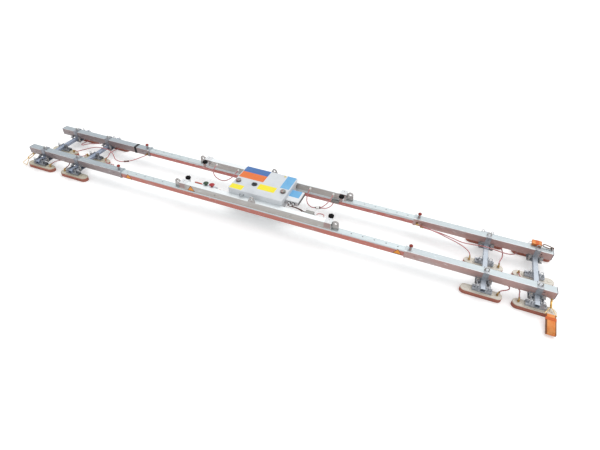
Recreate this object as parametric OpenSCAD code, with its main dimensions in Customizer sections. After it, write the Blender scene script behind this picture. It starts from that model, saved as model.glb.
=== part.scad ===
// Vacuum lifter for profiled roof panels, in millimetres.
// Origin: on the floor under the centre of the machine. +X runs along the beams,
// +Y from the near beam to the far beam, +Z up. The suction pads rest on Z = 0.

/* [Main frame] */
// Distance between the centre lines of the near and far beams
beam_spacing = 454; // [430:2:500]
// Outer width and height of the square main beam tube
beam_tube = 62; // [54:1:66]
// Wall of the main beam tube
beam_wall = 4; // [3:0.5:5]
// Length of each main beam
beam_length = 4000; // [3900:10:4100]
// Length of each upper tube
upper_length = 1490; // [1440:10:1560]
// Height of the upper tubes
upper_height = 66; // [60:1:72]

/* [End frames] */
// From the middle of the machine to the outer end of the left sleeves
left_reach = 2570; // [2500:5:2640]
// Length of each sliding sleeve
sleeve_length = 1150; // [1120:5:1180]
// Wall of the sleeve tube
sleeve_wall = 3; // [2.5:0.5:4]
// Gap between the main beam and the sleeve that slides on it
slide_gap = 1; // [0.6:0.1:1.2]
// Distance between the two cross bars of the right end frame
right_bar_gap = 392; // [370:2:410]
// Distance from the end of the right sleeves to the outer cross bar
right_bar_inset = 116; // [112:1:124]
// Distance between the two cross bars of the left end frame
left_bar_gap = 424; // [400:2:440]
// Distance from the end of the left sleeves to the outer cross bar
left_bar_inset = 175; // [168:1:184]
// Spacing of the locking holes along the main beams
lock_pitch = 100; // [80:5:100]

/* [Cross bars and pads] */
// Length of each cross bar
bar_length = 740; // [730:5:780]
// Width of the cross bar tube
bar_width = 40; // [34:1:46]
// Height of the cross bar tube
bar_height = 30; // [26:1:36]
// Wall of the cross bar tube
bar_wall = 3; // [2:0.5:4]
// Distance between the rows of suction pads, the pitch of the panel ribs
row_pitch = 330; // [320:2:340]
// Length of each suction pad
pad_length = 320; // [290:2:340]
// Width of each suction pad
pad_width = 79; // [72:1:86]
// Height of the rubber seal round each pad
seal_height = 34; // [28:1:40]
// Width of the rubber seal wall
seal_wall = 14; // [11:1:16]
// Thickness of the pad plate at its edge
plate_edge = 7; // [5:0.5:9]
// Height of the bridge between a pad and its cross bar
bridge_height = 31; // [28:1:38]

/* [Vacuum unit] */
// Length of the housing along the beams
case_length = 530; // [500:5:560]
// How far each side of the housing lies on its upper tube
case_lap = 6; // [5:1:12]
// Depth of the tub that hangs between the upper tubes
tub_depth = 84; // [78:1:86]
// Height of the lid
lid_height = 48; // [44:1:54]
// Thickness of the sheet that the tub and the lid are made of
sheet = 3; // [2:0.5:4]
// Diameter of the two vacuum gauges
gauge_diameter = 48; // [42:1:54]
// Diameter of the main switch
switch_diameter = 54; // [46:1:60]
// Diameter of the star knobs
star_diameter = 50; // [44:1:54]

/* [Lifting points] */
// Diameter of the sling holes in the lifting lugs
sling_hole = 24; // [18:1:26]
// Thickness of the lifting lugs
lug_thickness = 10; // [8:1:14]
// Height of the four outer sling holes above the main beams
outer_sling_rise = 57; // [50:1:62]
// Height of the two middle sling holes above the upper tubes
middle_sling_rise = 28; // [24:1:34]

/* [Hooks and hoses] */
// Diameter of the vacuum hoses
hose_diameter = 9; // [8:0.5:10]
// Diameter of the wire of the snap hooks
hook_wire = 8; // [6:0.5:9]
// Width of the safety strap webbing
strap_width = 70; // [60:1:74]

/* [Hidden] */

$fn = 40;
clearance = 0.3;
run_fit = 0.05;

// Heights, stacked up from the floor
pad_top = seal_height + plate_edge;
bar_z0 = pad_top + bridge_height;
sleeve_z0 = bar_z0 + bar_height;
sleeve_size = beam_tube + 2 * slide_gap + 2 * sleeve_wall;
sleeve_z1 = sleeve_z0 + sleeve_size;
beam_z = sleeve_z0 + sleeve_size / 2;
beam_z0 = beam_z - beam_tube / 2;
beam_z1 = beam_z + beam_tube / 2;
upper_z1 = beam_z1 + upper_height;

// Places across the machine
beam_y = beam_spacing / 2;
inner_y = beam_y - beam_tube / 2;
outer_y = beam_y + beam_tube / 2;
rows = [-row_pitch, 0, row_pitch];

// Places along the machine: the right end is drawn out until its outer pads reach
// as far from the middle as the caps of the left sleeves do
cap_thickness = 5;
right_bar_x = left_reach + cap_thickness - pad_length / 2;
right_reach = right_bar_x + right_bar_inset;
right_bars = [right_bar_x - right_bar_gap, right_bar_x];
left_bars = [-left_reach + left_bar_inset + left_bar_gap, -left_reach + left_bar_inset];
lock_inset = 40;
function reach(end) = end > 0 ? right_reach : left_reach;
function lock_x(end) = reach(end) - sleeve_length + lock_inset;

// Locking pins
pin_r = 5;
boss_r = 12;
boss_h = 20;
pin_stroke = 9;

// Suction pads
core_lift = 3.5;
doubler_length = 182;
doubler_width = pad_width - 22;
doubler_h = 6;
bridge_length = 150;
bridge_width = 44;
bridge_bolt_x = 61;
port_x = 118;

// Crossing clamps
cheek_length = 124;
cheek_sheet = 4;
strap_bar = bar_width + 4;
foot_width = 24;
foot_h = 5;
stud_x = bar_width / 2 + 25;
stud_y = sleeve_size / 2 + cheek_sheet + foot_width / 2;
stud_r = 5;
spacer_r = 8.5;
clamp_plate_h = 6;

// Vacuum unit
tub_y = inner_y - 4;
flange_h = 3;
tub_z0 = upper_z1 - tub_depth;
lid_z0 = upper_z1 + flange_h;
lid_z1 = lid_z0 + lid_height;
case_y = inner_y + case_lap;
case_r = 22;
hinge_r = 5;
hinge_y = case_y + hinge_r + 1.5;
hinge_z = upper_z1 + 18;
hinge_x = [-case_length / 2 + 80, case_length / 2 - 80];
knuckle = 26;
hinge_pin_r = 2.5;
gauge_x = case_length / 2 - 43;
gauge_y = -65;
gauge_h = 15;
switch_x = -62;
switch_y = -61;
switch_h = 18;
switch_shaft_r = 6;

// End brackets, star knobs and sling lugs on the centre unit
bracket_x = upper_length / 2 - 33;
bracket_w = 60;
bracket_plate = 6;
bracket_drop = 46;
ledge_in = 42;
ledge_r = 21;
ledge_drop = 8;
star_y = inner_y - ledge_in;
star_z = upper_z1 - ledge_drop + clearance;
star_shaft_r = 5;
sling_x = upper_length / 2 + 32;
outer_head_r = 28;
middle_head_r = 24;

// Valve block on the near upper tube
valve_x = -476;
valve_l = 150;
valve_d = 44;
valve_h = 40;
button_gap = 62;
button_r = 15;
button_stroke = 6;
valve_top = upper_z1 - 16;

// Charger unit beside the housing, and its junction box
side_w = 125;
side_d = 175;
side_y = -8;
side_z0 = upper_z1 - 42;
side_x = case_length / 2 - 8 + side_w / 2;
socket_reach = 24;
socket_z = side_z0 + 22;
box_x = 521;
box_w = 78;
box_d = 46;
gland_h = 8;
lead_diameter = 8;

// Snap hooks and straps
peg_r = 4;
peg_drop = 15;
hook_inset = 8;
hook_y = -outer_y + 14;
hook_z = sleeve_z0 - peg_drop;
hook_eye_r = 6;
hook_length = 66;
hook_half = 11;
hook_tilt = 70;
left_hook_yaw = 17;
gate_pivot_z = -27.5;
gate_length = 25;
gate_pin_r = 1.3;
ring_r = 3;
function hook_x(end) = end * (reach(end) - hook_inset);

// The shape of tubes and bars

module round_rect(w, h, r) {
    square([w - 2 * r, h], center = true);
    square([w, h - 2 * r], center = true);
    for (x = [-1, 1], y = [-1, 1])
        translate([x * (w / 2 - r), y * (h / 2 - r)])
            circle(r);
}

// A closed bar along X, centred on the origin
module bar_x(length, w, h, r) {
    rotate([90, 0, 90])
        linear_extrude(length, center = true)
            round_rect(w, h, r);
}

// An open tube along X, centred on the origin
module tube_x(length, w, h, wall) {
    rotate([90, 0, 90])
        linear_extrude(length, center = true)
            difference() {
                round_rect(w, h, wall + 1.5);
                round_rect(w - 2 * wall, h - 2 * wall, 1.5);
            }
}

// A slot outline with round ends, centred on the origin, long along X
module stadium(length, w) {
    square([length - w, w], center = true);
    for (x = [-1, 1])
        translate([x * (length - w) / 2, 0])
            circle(w / 2, $fn = 64);
}

module slab(length, w, z0, h) {
    translate([0, 0, z0])
        linear_extrude(h)
            stadium(length, w);
}

// A block given by its centre in X and Y, its size and its bottom
module block(x, y, z0, size) {
    translate([x - size[0] / 2, y - size[1] / 2, z0])
        cube(size);
}

// A hexagon nut or bolt head standing on the origin
module hexagon(across, h) {
    cylinder(r = across / sqrt(3), h = h, $fn = 6);
}

// Main beams: square tubes with a row of locking holes at each end

module main_beam(side) {
    difference() {
        translate([0, side * beam_y, beam_z])
            tube_x(beam_length, beam_tube, beam_tube, beam_wall);
        for (end = [-1, 1], k = [-5:3])
            translate([end * (lock_x(end) + k * lock_pitch), side * beam_y, beam_z])
                cylinder(r = pin_r + clearance, h = beam_tube);
    }
}

module beam_near() {
    color("silver")
        main_beam(-1);
}

module beam_far() {
    color("silver")
        main_beam(1);
}

// Upper tubes: they lie on the main beams under the vacuum unit

module upper_tube(side) {
    translate([0, side * beam_y, beam_z1 + upper_height / 2])
        difference() {
            tube_x(upper_length, beam_tube, upper_height, beam_wall);
            for (x = [-1, 1])
                translate([x * upper_length / 4, 0, 0])
                    rotate([90, 0, 0])
                        cylinder(r = 5, h = beam_tube + 2, center = true);
        }
}

module upper_tubes() {
    color("gainsboro") {
        upper_tube(-1);
        upper_tube(1);
    }
}

// Cross members: flanged tubes that tie the beams together under the tub

module cross_members() {
    member = 40;
    flange = 6;
    color("lightsteelblue")
        for (x = [-1, 1])
            translate([x * case_length * 0.34, 0, beam_z0 + 2]) {
                difference() {
                    block(0, 0, 0, [member, 2 * inner_y, 42]);
                    translate([-member / 2 + 3, -inner_y - 1, 3])
                        cube([member - 6, 2 * inner_y + 2, 36]);
                }
                for (y = [-1, 1])
                    difference() {
                        block(0, y * (inner_y - flange / 2), 0, [90, flange, 42]);
                        for (bx = [-33, 33])
                            translate([bx, y * inner_y, 21])
                                rotate([90, 0, 0])
                                    cylinder(r = 5.5, h = 30, center = true);
                    }
            }
}

// End brackets: white split clamps over the ends of the upper tubes. The screw of a
// star knob draws the two jaws of each one's ledge together

module end_bracket() {
    low = upper_z1 - bracket_drop;
    screw_y = beam_tube / 2 + ledge_in;
    difference() {
        union() {
            block(0, 0, upper_z1, [bracket_w, beam_tube + 2 * bracket_plate, bracket_plate]);
            for (s = [-1, 1])
                block(0, s * (beam_tube + bracket_plate) / 2, low,
                    [bracket_w, bracket_plate, bracket_drop]);
            translate([0, 0, low])
                linear_extrude(bracket_drop - ledge_drop) {
                    translate([-ledge_r, beam_tube / 2])
                        square([2 * ledge_r, ledge_in]);
                    translate([0, screw_y])
                        circle(ledge_r);
                }
        }
        block(0, beam_tube / 2 + bracket_plate + ledge_in, low + 17, [bracket_w, 2 * ledge_in, 3]);
        translate([0, screw_y, low - 1])
            cylinder(r = star_shaft_r + run_fit, h = bracket_drop);
        translate([0, 0, upper_z1 - 1])
            linear_extrude(bracket_plate + 2)
                rotate(90)
                    stadium(36, 8);
    }
}

module end_brackets() {
    color("whitesmoke")
        for (x = [-1, 1], y = [0, 1])
            mirror([0, y, 0])
                translate([x * bracket_x, -beam_y, 0])
                    end_bracket();
}

// A star knob standing on the ledge of a bracket, with its clamping screw
module star_knob(x, side) {
    screw = bracket_drop - ledge_drop + 4;
    grip_h = 15;
    color([0.08, 0.08, 0.09])
        translate([x * bracket_x, side * star_y, star_z]) {
            translate([0, 0, -screw])
                cylinder(r = star_shaft_r, h = screw + 1);
            cylinder(r = 12, h = 5);
            translate([0, 0, 4])
                linear_extrude(grip_h)
                    difference() {
                        circle(star_diameter / 2);
                        for (a = [0:60:300])
                            rotate(a)
                                translate([star_diameter / 2 + 3, 0])
                                    circle(7);
                    }
            translate([0, 0, 4 + grip_h])
                cylinder(r1 = 15, r2 = 9, h = 4);
        }
}

module star_knob_near_left() { star_knob(-1, -1); }
module star_knob_near_right() { star_knob(1, -1); }
module star_knob_far_left() { star_knob(-1, 1); }
module star_knob_far_right() { star_knob(1, 1); }

// Lifting lugs: round-headed plates with a sling hole

module lug(rise, head_r, foot_half) {
    rotate([90, 0, 0])
        linear_extrude(lug_thickness, center = true)
            difference() {
                union() {
                    polygon([
                        [-foot_half, 0], [foot_half, 0], [foot_half, 5],
                        [head_r, rise], [-head_r, rise], [-foot_half, 5]
                    ]);
                    translate([0, rise])
                        circle(head_r);
                }
                translate([0, rise])
                    circle(sling_hole / 2);
            }
}

module lifting_lugs() {
    color("silver") {
        for (x = [-1, 1], y = [-1, 1])
            translate([x * sling_x, y * beam_y, beam_z1])
                lug(outer_sling_rise, outer_head_r, outer_head_r + 3);
        for (y = [-1, 1])
            translate([0, y * (outer_y - lug_thickness / 2), upper_z1])
                lug(middle_sling_rise, middle_head_r, middle_head_r + 12);
    }
}

// Housing of the vacuum unit: a sheet tub that hangs between the upper tubes

module case_tub() {
    color("gainsboro") {
        difference() {
            union() {
                translate([0, 0, tub_z0])
                    linear_extrude(tub_depth)
                        round_rect(case_length - 16, 2 * tub_y, case_r - 6);
                translate([0, 0, upper_z1])
                    linear_extrude(flange_h)
                        round_rect(case_length, 2 * case_y, case_r);
            }
            translate([0, 0, tub_z0 + sheet])
                linear_extrude(tub_depth + flange_h)
                    round_rect(case_length - 16 - 2 * sheet, 2 * (tub_y - sheet), case_r - 8);
            for (x = [-1, 1], k = [0:4])
                translate([x * (case_length / 2 - 8), -80 + 40 * k, tub_z0 + 34])
                    rotate([0, 90, 0])
                        linear_extrude(12, center = true)
                            stadium(32, 8);
        }
        // The fixed leaves of the lid hinge stand on the flange's far edge
        for (x = hinge_x)
            difference() {
                translate([x, 0, 0])
                    hinge_barrel([-knuckle, knuckle], case_y - 2, upper_z1);
                hinge_bore(x);
            }
    }
}

// Knuckles of the lid hinge at places along the pin, with the leaf that joins them on
module hinge_barrel(places, leaf_y, leaf_z) {
    for (p = places) {
        translate([p, hinge_y, hinge_z])
            rotate([0, 90, 0])
                cylinder(r = hinge_r, h = knuckle - clearance, center = true);
        block(p, (hinge_y + leaf_y) / 2, leaf_z,
            [knuckle - clearance, hinge_y - leaf_y, flange_h]);
        block(p, hinge_y, leaf_z, [knuckle - clearance, hinge_r, hinge_z - leaf_z]);
    }
}

module hinge_bore(x) {
    translate([x, hinge_y, hinge_z])
        rotate([0, 90, 0])
            cylinder(r = hinge_pin_r + run_fit, h = 4 * knuckle, center = true);
}

module hinge_pins() {
    color("silver")
        for (x = hinge_x)
            translate([x, hinge_y, hinge_z])
                rotate([0, 90, 0]) {
                    cylinder(r = hinge_pin_r, h = 3 * knuckle + 4, center = true);
                    for (s = [-1, 1])
                        translate([0, 0, s * (1.5 * knuckle + 2)])
                            cylinder(r = hinge_pin_r + 1.5, h = 2, center = true);
                }
}

// Inside the housing: battery, vacuum pumps and control board

left_bay = -case_length / 2 + 125;
right_bay = case_length / 2 - 135;

module battery() {
    body_h = 62;
    top = tub_z0 + sheet + body_h;
    color([0.16, 0.17, 0.19])
        translate([left_bay, 0, 0]) {
            translate([0, 62, tub_z0 + sheet])
                linear_extrude(body_h)
                    round_rect(180, 150, 5);
            for (y = [30, 94])
                translate([65, y, top])
                    cylinder(r = 8, h = 9);
            for (x = [-50, 50])
                block(x, 62, top, [12, 120, 4]);
        }
}

module vacuum_pumps() {
    color([0.55, 0.57, 0.6])
        for (y = [-1, 1])
            translate([right_bay, y * 78, tub_z0 + sheet]) {
                block(0, 0, 0, [170, 70, 6]);
                translate([-20, 0, 36]) {
                    rotate([0, 90, 0])
                        cylinder(r = 28, h = 100, center = true);
                    for (k = [-4:4])
                        translate([k * 9, 0, 0])
                            rotate([0, 90, 0])
                                cylinder(r = 31, h = 4, center = true);
                }
                block(-20, 0, 5, [80, 30, 10]);
                block(56, 0, 5, [52, 62, 62]);
                for (p = [-1, 1])
                    translate([56, p * 16, 66])
                        cylinder(r = 5, h = 9);
            }
}

module control_board() {
    stand = 12;
    board_z = tub_z0 + sheet + stand;
    color([0.1, 0.36, 0.22])
        translate([left_bay, 0, 0]) {
            for (x = [-70, 70], y = [-140, -50])
                translate([x, y, board_z - stand])
                    cylinder(r = 4, h = stand);
            block(0, -95, board_z, [156, 106, 2]);
            block(-40, -110, board_z + 2, [38, 30, 20]);
            block(20, -115, board_z + 2, [44, 26, 12]);
            for (k = [0:4])
                block(-50 + 24 * k, -62, board_z + 2, [16, 14, 16]);
        }
}

// Lid: a moulded shell with rounded edges, hinged along its far side

module lid() {
    edge = 7;
    color("whitesmoke") {
        difference() {
            lid_shell(0, lid_z0, lid_z1, edge);
            lid_shell(sheet, lid_z0 - 1, lid_z1 - sheet, edge);
            for (s = [-1, 1])
                translate([s * gauge_x, gauge_y, lid_z0])
                    cylinder(r = 10, h = lid_height + 1);
            translate([switch_x, switch_y, lid_z0])
                cylinder(r = switch_shaft_r + run_fit, h = lid_height + 1);
        }
        for (x = hinge_x)
            difference() {
                translate([x, 0, 0])
                    hinge_barrel([0], case_y - 1, hinge_z - 2);
                hinge_bore(x);
            }
        pull_handle();
    }
}

// Pull handle of the lid: a bent bar that stands out level on two feet
module pull_handle() {
    bar_r = 3.5;
    bend = 18;
    straight = 13;
    translate([-121, -case_y + 1, lid_z0 + 11]) {
        for (s = [-1, 1])
            translate([s * bend, 0, 0])
                rotate([90, 0, 0]) {
                    cylinder(r = bar_r, h = straight);
                    cylinder(r = bar_r + 3, h = 3);
                }
        translate([0, -straight, 0])
            rotate([0, 0, 180])
                rotate_extrude(angle = 180)
                    translate([bend, 0])
                        circle(bar_r, $fn = 24);
    }
}

module lid_shell(inset, z0, z1, edge) {
    hull() {
        translate([0, 0, z0])
            linear_extrude(z1 - z0 - edge)
                round_rect(case_length - 2 * inset, 2 * (case_y - inset), case_r - inset);
        translate([0, 0, z0])
            linear_extrude(z1 - z0 - edge * 0.3)
                round_rect(case_length - 2 * inset - edge * 0.7,
                    2 * (case_y - inset) - edge * 0.7, case_r - inset);
        translate([0, 0, z0])
            linear_extrude(z1 - z0)
                round_rect(case_length - 2 * inset - 2 * edge,
                    2 * (case_y - inset) - 2 * edge, case_r - inset - 3);
    }
}

// Two dial gauges on the lid, each with its needle

module vacuum_gauges() {
    color([0.75, 0.76, 0.78])
        for (s = [-1, 1])
            translate([s * gauge_x, gauge_y, lid_z1])
                difference() {
                    union() {
                        cylinder(r = gauge_diameter / 2 - 2, h = gauge_h);
                        cylinder(r = gauge_diameter / 2, h = 4);
                        translate([0, 0, gauge_h - 4])
                            cylinder(r = gauge_diameter / 2, h = 4);
                        translate([0, 0, -sheet - 12])
                            cylinder(r = 9.9, h = sheet + 13);
                    }
                    translate([0, 0, gauge_h - 6])
                        cylinder(r = gauge_diameter / 2 - 4, h = 7);
                    translate([0, 0, gauge_h - 10])
                        cylinder(r = 1.5 + run_fit, h = 11);
                }
}

module gauge_needle(x) {
    dial_z = lid_z1 + gauge_h - 6;
    color("black")
        translate([x, gauge_y, dial_z]) {
            translate([0, 0, -3])
                cylinder(r = 1.5, h = 5);
            translate([0, 0, 1.2])
                cylinder(r = 3.4, h = 1.4);
            rotate(135)
                translate([-6, -0.9, 1.2])
                    cube([gauge_diameter / 2 - 1, 1.8, 0.9]);
        }
}

module gauge_needle_left() { gauge_needle(-gauge_x); }
module gauge_needle_right() { gauge_needle(gauge_x); }

// Main switch: a round knob with a raised grip
module main_switch() {
    color([0.15, 0.15, 0.16])
        translate([switch_x, switch_y, lid_z1 + clearance]) {
            translate([0, 0, -sheet - 10])
                cylinder(r = switch_shaft_r, h = sheet + 11);
            cylinder(r = switch_diameter / 2, h = 5);
            translate([0, 0, 5])
                cylinder(r1 = switch_diameter / 2 - 5, r2 = switch_diameter / 2 - 8, h = 5);
            translate([0, 0, 9])
                linear_extrude(switch_h - 9)
                    stadium(switch_diameter - 18, 11);
        }
}

// Valve block on the inner side of the near upper tube, with two push buttons

module valve_block() {
    y = -inner_y + valve_d / 2;
    pipe_z = valve_top - 16;
    end_x = valve_l / 2;
    color([0.72, 0.74, 0.76])
        translate([valve_x, y, 0])
            difference() {
                union() {
                    block(0, 0, valve_top - valve_h, [valve_l, valve_d, valve_h]);
                    for (s = [-1, 1])
                        translate([s * button_gap / 2, 0, valve_top])
                            cylinder(r = button_r - 2, h = 6);
                    // Pipe stub and its cap on the right
                    translate([end_x, 0, pipe_z])
                        rotate([0, 90, 0]) {
                            cylinder(r = 9, h = 26);
                            translate([0, 0, 26])
                                cylinder(r = 11, h = 22);
                        }
                    // Shut-off valve with a level lever on the left
                    translate([-end_x, 0, pipe_z])
                        rotate([0, -90, 0]) {
                            cylinder(r = 12, h = 24);
                            cylinder(r = 7, h = 38);
                        }
                    translate([-end_x - 12, 0, pipe_z])
                        cylinder(r = 5, h = 20);
                    translate([-end_x - 36, 0, pipe_z + 18])
                        linear_extrude(3.5)
                            stadium(76, 14);
                }
                for (s = [-1, 1])
                    translate([s * button_gap / 2, 0, valve_top - 22])
                        cylinder(r = 4 + run_fit, h = 30);
            }
}

module valve_button(s) {
    translate([valve_x + s * button_gap / 2, -inner_y + valve_d / 2,
        valve_top + 6 + button_stroke + clearance]) {
        translate([0, 0, -button_stroke - 16])
            cylinder(r = 4, h = button_stroke + 17);
        cylinder(r = button_r, h = 6);
        translate([0, 0, 6])
            cylinder(r1 = button_r, r2 = button_r - 4, h = 4);
        translate([0, 0, 10])
            cylinder(r1 = button_r - 4, r2 = button_r - 9, h = 2);
    }
}

module release_button() {
    color([0.05, 0.3, 0.16])
        valve_button(-1);
}

module grip_button() {
    color([0.75, 0.1, 0.12])
        valve_button(1);
}

// Charger unit on the right end of the tub: a lidded box with two cable sockets on
// its near side and a rubber strip along its right side
module side_unit() {
    lid_h = 4;
    body_h = upper_z1 - side_z0 - lid_h;
    color("whitesmoke")
        translate([side_x, side_y, side_z0]) {
            linear_extrude(body_h)
                round_rect(side_w, side_d, 8);
            translate([0, 0, body_h])
                linear_extrude(lid_h)
                    round_rect(side_w - 8, side_d - 8, 6);
            translate([side_w / 2 + 2, 0, 10])
                linear_extrude(22)
                    round_rect(6, side_d - 18, 2.5);
            for (x = sockets)
                translate([x, -side_d / 2, socket_z - side_z0])
                    rotate([90, 0, 0]) {
                        cylinder(r = 15, h = 10);
                        cylinder(r = 11, h = socket_reach);
                    }
        }
}

sockets = [-20, 20];

// Junction box on the inner side of the near upper tube
gland_x = box_x - box_w / 2 - gland_h;

module junction_box() {
    lid_h = 4;
    body_h = 42;
    low = upper_z1 - body_h - lid_h;
    mid = -inner_y + box_d / 2;
    color([0.62, 0.62, 0.6])
        translate([box_x, mid, low]) {
            linear_extrude(body_h)
                round_rect(box_w, box_d, 4);
            translate([0, 0, body_h])
                linear_extrude(lid_h)
                    round_rect(box_w - 6, box_d - 6, 3);
            translate([box_w / 2, 0, 22])
                rotate([0, 90, 0])
                    cylinder(r = 8, h = 14);
            for (k = [-1, 1])
                translate([-box_w / 2 - gland_h, k * 8, socket_z - low])
                    rotate([0, 90, 0])
                        cylinder(r = 7, h = gland_h + 1);
        }
}

// Push-in fittings of the hoses in the inner faces of the upper tubes
fitting_z = upper_z1 - 20;
fittings_far = [-598, -360, 396, 624];
fittings_near = [584, 646];
fitting_reach = 26;

module tube_fittings() {
    color("white") {
        for (x = fittings_far)
            translate([x, inner_y, fitting_z])
                rotate([90, 0, 0])
                    push_fitting();
        for (x = fittings_near)
            translate([x, -inner_y, fitting_z])
                rotate([-90, 0, 0])
                    push_fitting();
        check_valve();
        branch_piece();
    }
}

// Non-return valve on the inner face of the far beam: a barrel with end nuts on a
// foot, and a port that points to the near side
valve_port = [640, inner_y - 46, 145];

module check_valve() {
    barrel_r = 14;
    axis_y = inner_y - 18;
    translate([valve_port[0] + 10, axis_y, valve_port[2]]) {
        rotate([0, 90, 0])
            cylinder(r = barrel_r, h = 52, center = true);
        for (s = [-1, 1])
            translate([s * 30, 0, 0])
                rotate([0, 90, 0])
                    cylinder(r = barrel_r - 3, h = 14, center = true);
        block(0, (inner_y - axis_y) / 2, -8, [30, inner_y - axis_y, 16]);
        translate([-10, 0, 0])
            rotate([90, 0, 0])
                cylinder(r = 7, h = axis_y - valve_port[1]);
    }
}

// A push-in fitting that points along +Z, with its hexagon on the origin
module push_fitting() {
    hexagon(19, 8);
    cylinder(r = 8, h = 18);
    translate([0, 0, 18])
        cylinder(r = 7, h = fitting_reach - 18);
}

// Sleeves: square tubes that slide on the main beams and carry the end frames
liner_x = [30, 250];
liner_length = 50;

// Plastic liner that fills the gap between a sleeve and its beam
module slide_liner() {
    outer = beam_tube + 2 * slide_gap + 1;
    rotate([90, 0, 90])
        linear_extrude(liner_length, center = true)
            difference() {
                square(outer, center = true);
                square(beam_tube + 2 * run_fit, center = true);
            }
}

module sleeve(end, side) {
    mid = end * (reach(end) - sleeve_length / 2);
    front_holes = [lock_x(end) + 45, lock_x(end) + 425, reach(end) - 83];
    difference() {
        union() {
            translate([mid, side * beam_y, beam_z])
                tube_x(sleeve_length, sleeve_size, sleeve_size, sleeve_wall);
            // Collar round the mouth and the boss of the locking pin
            translate([end * (reach(end) - sleeve_length + 9), side * beam_y, beam_z])
                tube_x(18, sleeve_size + 8, sleeve_size + 8, sleeve_wall + 4);
            for (x = liner_x)
                translate([end * (reach(end) - sleeve_length + x), side * beam_y, beam_z])
                    slide_liner();
            translate([end * lock_x(end), side * beam_y, sleeve_z1 - 1])
                cylinder(r = boss_r, h = boss_h + 1);
        }
        translate([end * lock_x(end), side * beam_y, beam_z])
            cylinder(r = pin_r + run_fit, h = sleeve_size);
        for (x = front_holes)
            translate([end * x, side * beam_y - sleeve_size / 2, beam_z + 4])
                rotate([90, 0, 0])
                    cylinder(r = 5, h = 12, center = true);
    }
}

// Peg under the outer end of a near sleeve, for its snap hook
module hook_peg(end) {
    leg_x = end * (reach(end) - 22);
    head_x = end * (reach(end) + cap_thickness);
    translate([leg_x, hook_y, hook_z]) {
        sphere(peg_r);
        cylinder(r = peg_r, h = peg_drop + 1);
    }
    translate([leg_x, hook_y, hook_z])
        rotate([0, end * 90, 0])
            cylinder(r = peg_r, h = abs(head_x - leg_x));
    translate([head_x, hook_y, hook_z])
        rotate([0, -end * 90, 0])
            cylinder(r = 9, h = 4);
}

// Staple on top of the far right sleeve, for the stowed strap
far_hook_x = right_reach - 12;
far_hook_y = beam_y + 18;
staple_rise = 15;
far_hook_z = sleeve_z1 + staple_rise;
staple_half = 12;

module far_staple() {
    translate([far_hook_x, far_hook_y, far_hook_z]) {
        rotate([90, 0, 0])
            cylinder(r = peg_r, h = 2 * staple_half, center = true);
        for (s = [-1, 1])
            translate([0, s * staple_half, 0]) {
                sphere(peg_r);
                mirror([0, 0, 1])
                    cylinder(r = peg_r, h = staple_rise + 1);
            }
    }
}

module sleeves_left() {
    color("silver") {
        sleeve(-1, -1);
        sleeve(-1, 1);
        hook_peg(-1);
    }
}

module sleeves_right() {
    color("silver") {
        sleeve(1, -1);
        sleeve(1, 1);
        hook_peg(1);
        far_staple();
    }
}

// Plastic plugs in the outer ends of the sleeves

module end_caps(end) {
    color([0.2, 0.15, 0.22])
        for (side = [-1, 1])
            translate([end * reach(end), side * beam_y, beam_z]) {
                translate([end * cap_thickness / 2, 0, 0])
                    bar_x(cap_thickness, sleeve_size, sleeve_size, 6);
                translate([-end * 10, 0, 0])
                    bar_x(20, sleeve_size - 2 * sleeve_wall, sleeve_size - 2 * sleeve_wall, 1.5);
            }
}

module end_caps_left() { end_caps(-1); }
module end_caps_right() { end_caps(1); }

// Cross bars: open rectangular tubes under the sleeves, which carry the pads

module cross_bars(bars) {
    color("lightsteelblue")
        for (x = bars)
            translate([x, 0, bar_z0 + bar_height / 2])
                rotate([0, 0, 90])
                    tube_x(bar_length, bar_width, bar_height, bar_wall);
}

module cross_bars_left() { cross_bars(left_bars); }
module cross_bars_right() { cross_bars(right_bars); }

// Crossing clamps: a folded saddle over the sleeve, drawn down by four studs
// to a plate under the cross bar

cheek_h = 14;
foot_out = 34;
stay_h = 18;
stay_w = 5;
stay_end = row_pitch - beam_y + bridge_width / 2 - 4;

module saddle() {
    half = sleeve_size / 2;
    for (s = [-1, 1]) {
        // Cheek along the sleeve's lower edge, with a foot for each stud
        difference() {
            union() {
                block(0, s * (half + cheek_sheet / 2), sleeve_z0,
                    [cheek_length, cheek_sheet, cheek_h]);
                for (x = [-1, 1])
                    block(x * stud_x, s * (half + foot_out / 2), sleeve_z0,
                        [26, foot_out, foot_h]);
            }
            for (x = [-1, 1])
                translate([x * stud_x, s * stud_y, sleeve_z0 - 1])
                    cylinder(r = stud_r + run_fit, h = foot_h + 2);
        }
        // Strap up the side of the sleeve
        block(0, s * (half + cheek_sheet / 2), sleeve_z0,
            [strap_bar, cheek_sheet, sleeve_size + cheek_sheet]);
    }
    block(0, 0, sleeve_z1, [strap_bar, sleeve_size + cheek_sheet, cheek_sheet]);
    // Stays beside the bar, to the angles of the outer pad
    for (x = [-1, 1])
        block(x * stud_x, -(stud_y + spacer_r + 1.5 + stay_end) / 2, sleeve_z0 - stay_h,
            [stay_w, stay_end - stud_y - spacer_r - 1.5, stay_h]);
}

module clamp_plate() {
    difference() {
        block(0, 0, bar_z0 - clamp_plate_h,
            [2 * stud_x + 30, 2 * stud_y + 26, clamp_plate_h]);
        for (x = [-1, 1], y = [-1, 1])
            translate([x * stud_x, y * stud_y, bar_z0 - clamp_plate_h - 1])
                cylinder(r = stud_r + run_fit, h = clamp_plate_h + 2);
    }
}

module crossing_clamps(bars) {
    color("lightgrey")
        for (x = bars, side = [0, 1])
            mirror([0, side, 0])
                translate([x, -beam_y, 0]) {
                    saddle();
                    clamp_plate();
                }
}

module crossing_clamps_left() { crossing_clamps(left_bars); }
module crossing_clamps_right() { crossing_clamps(right_bars); }

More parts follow.
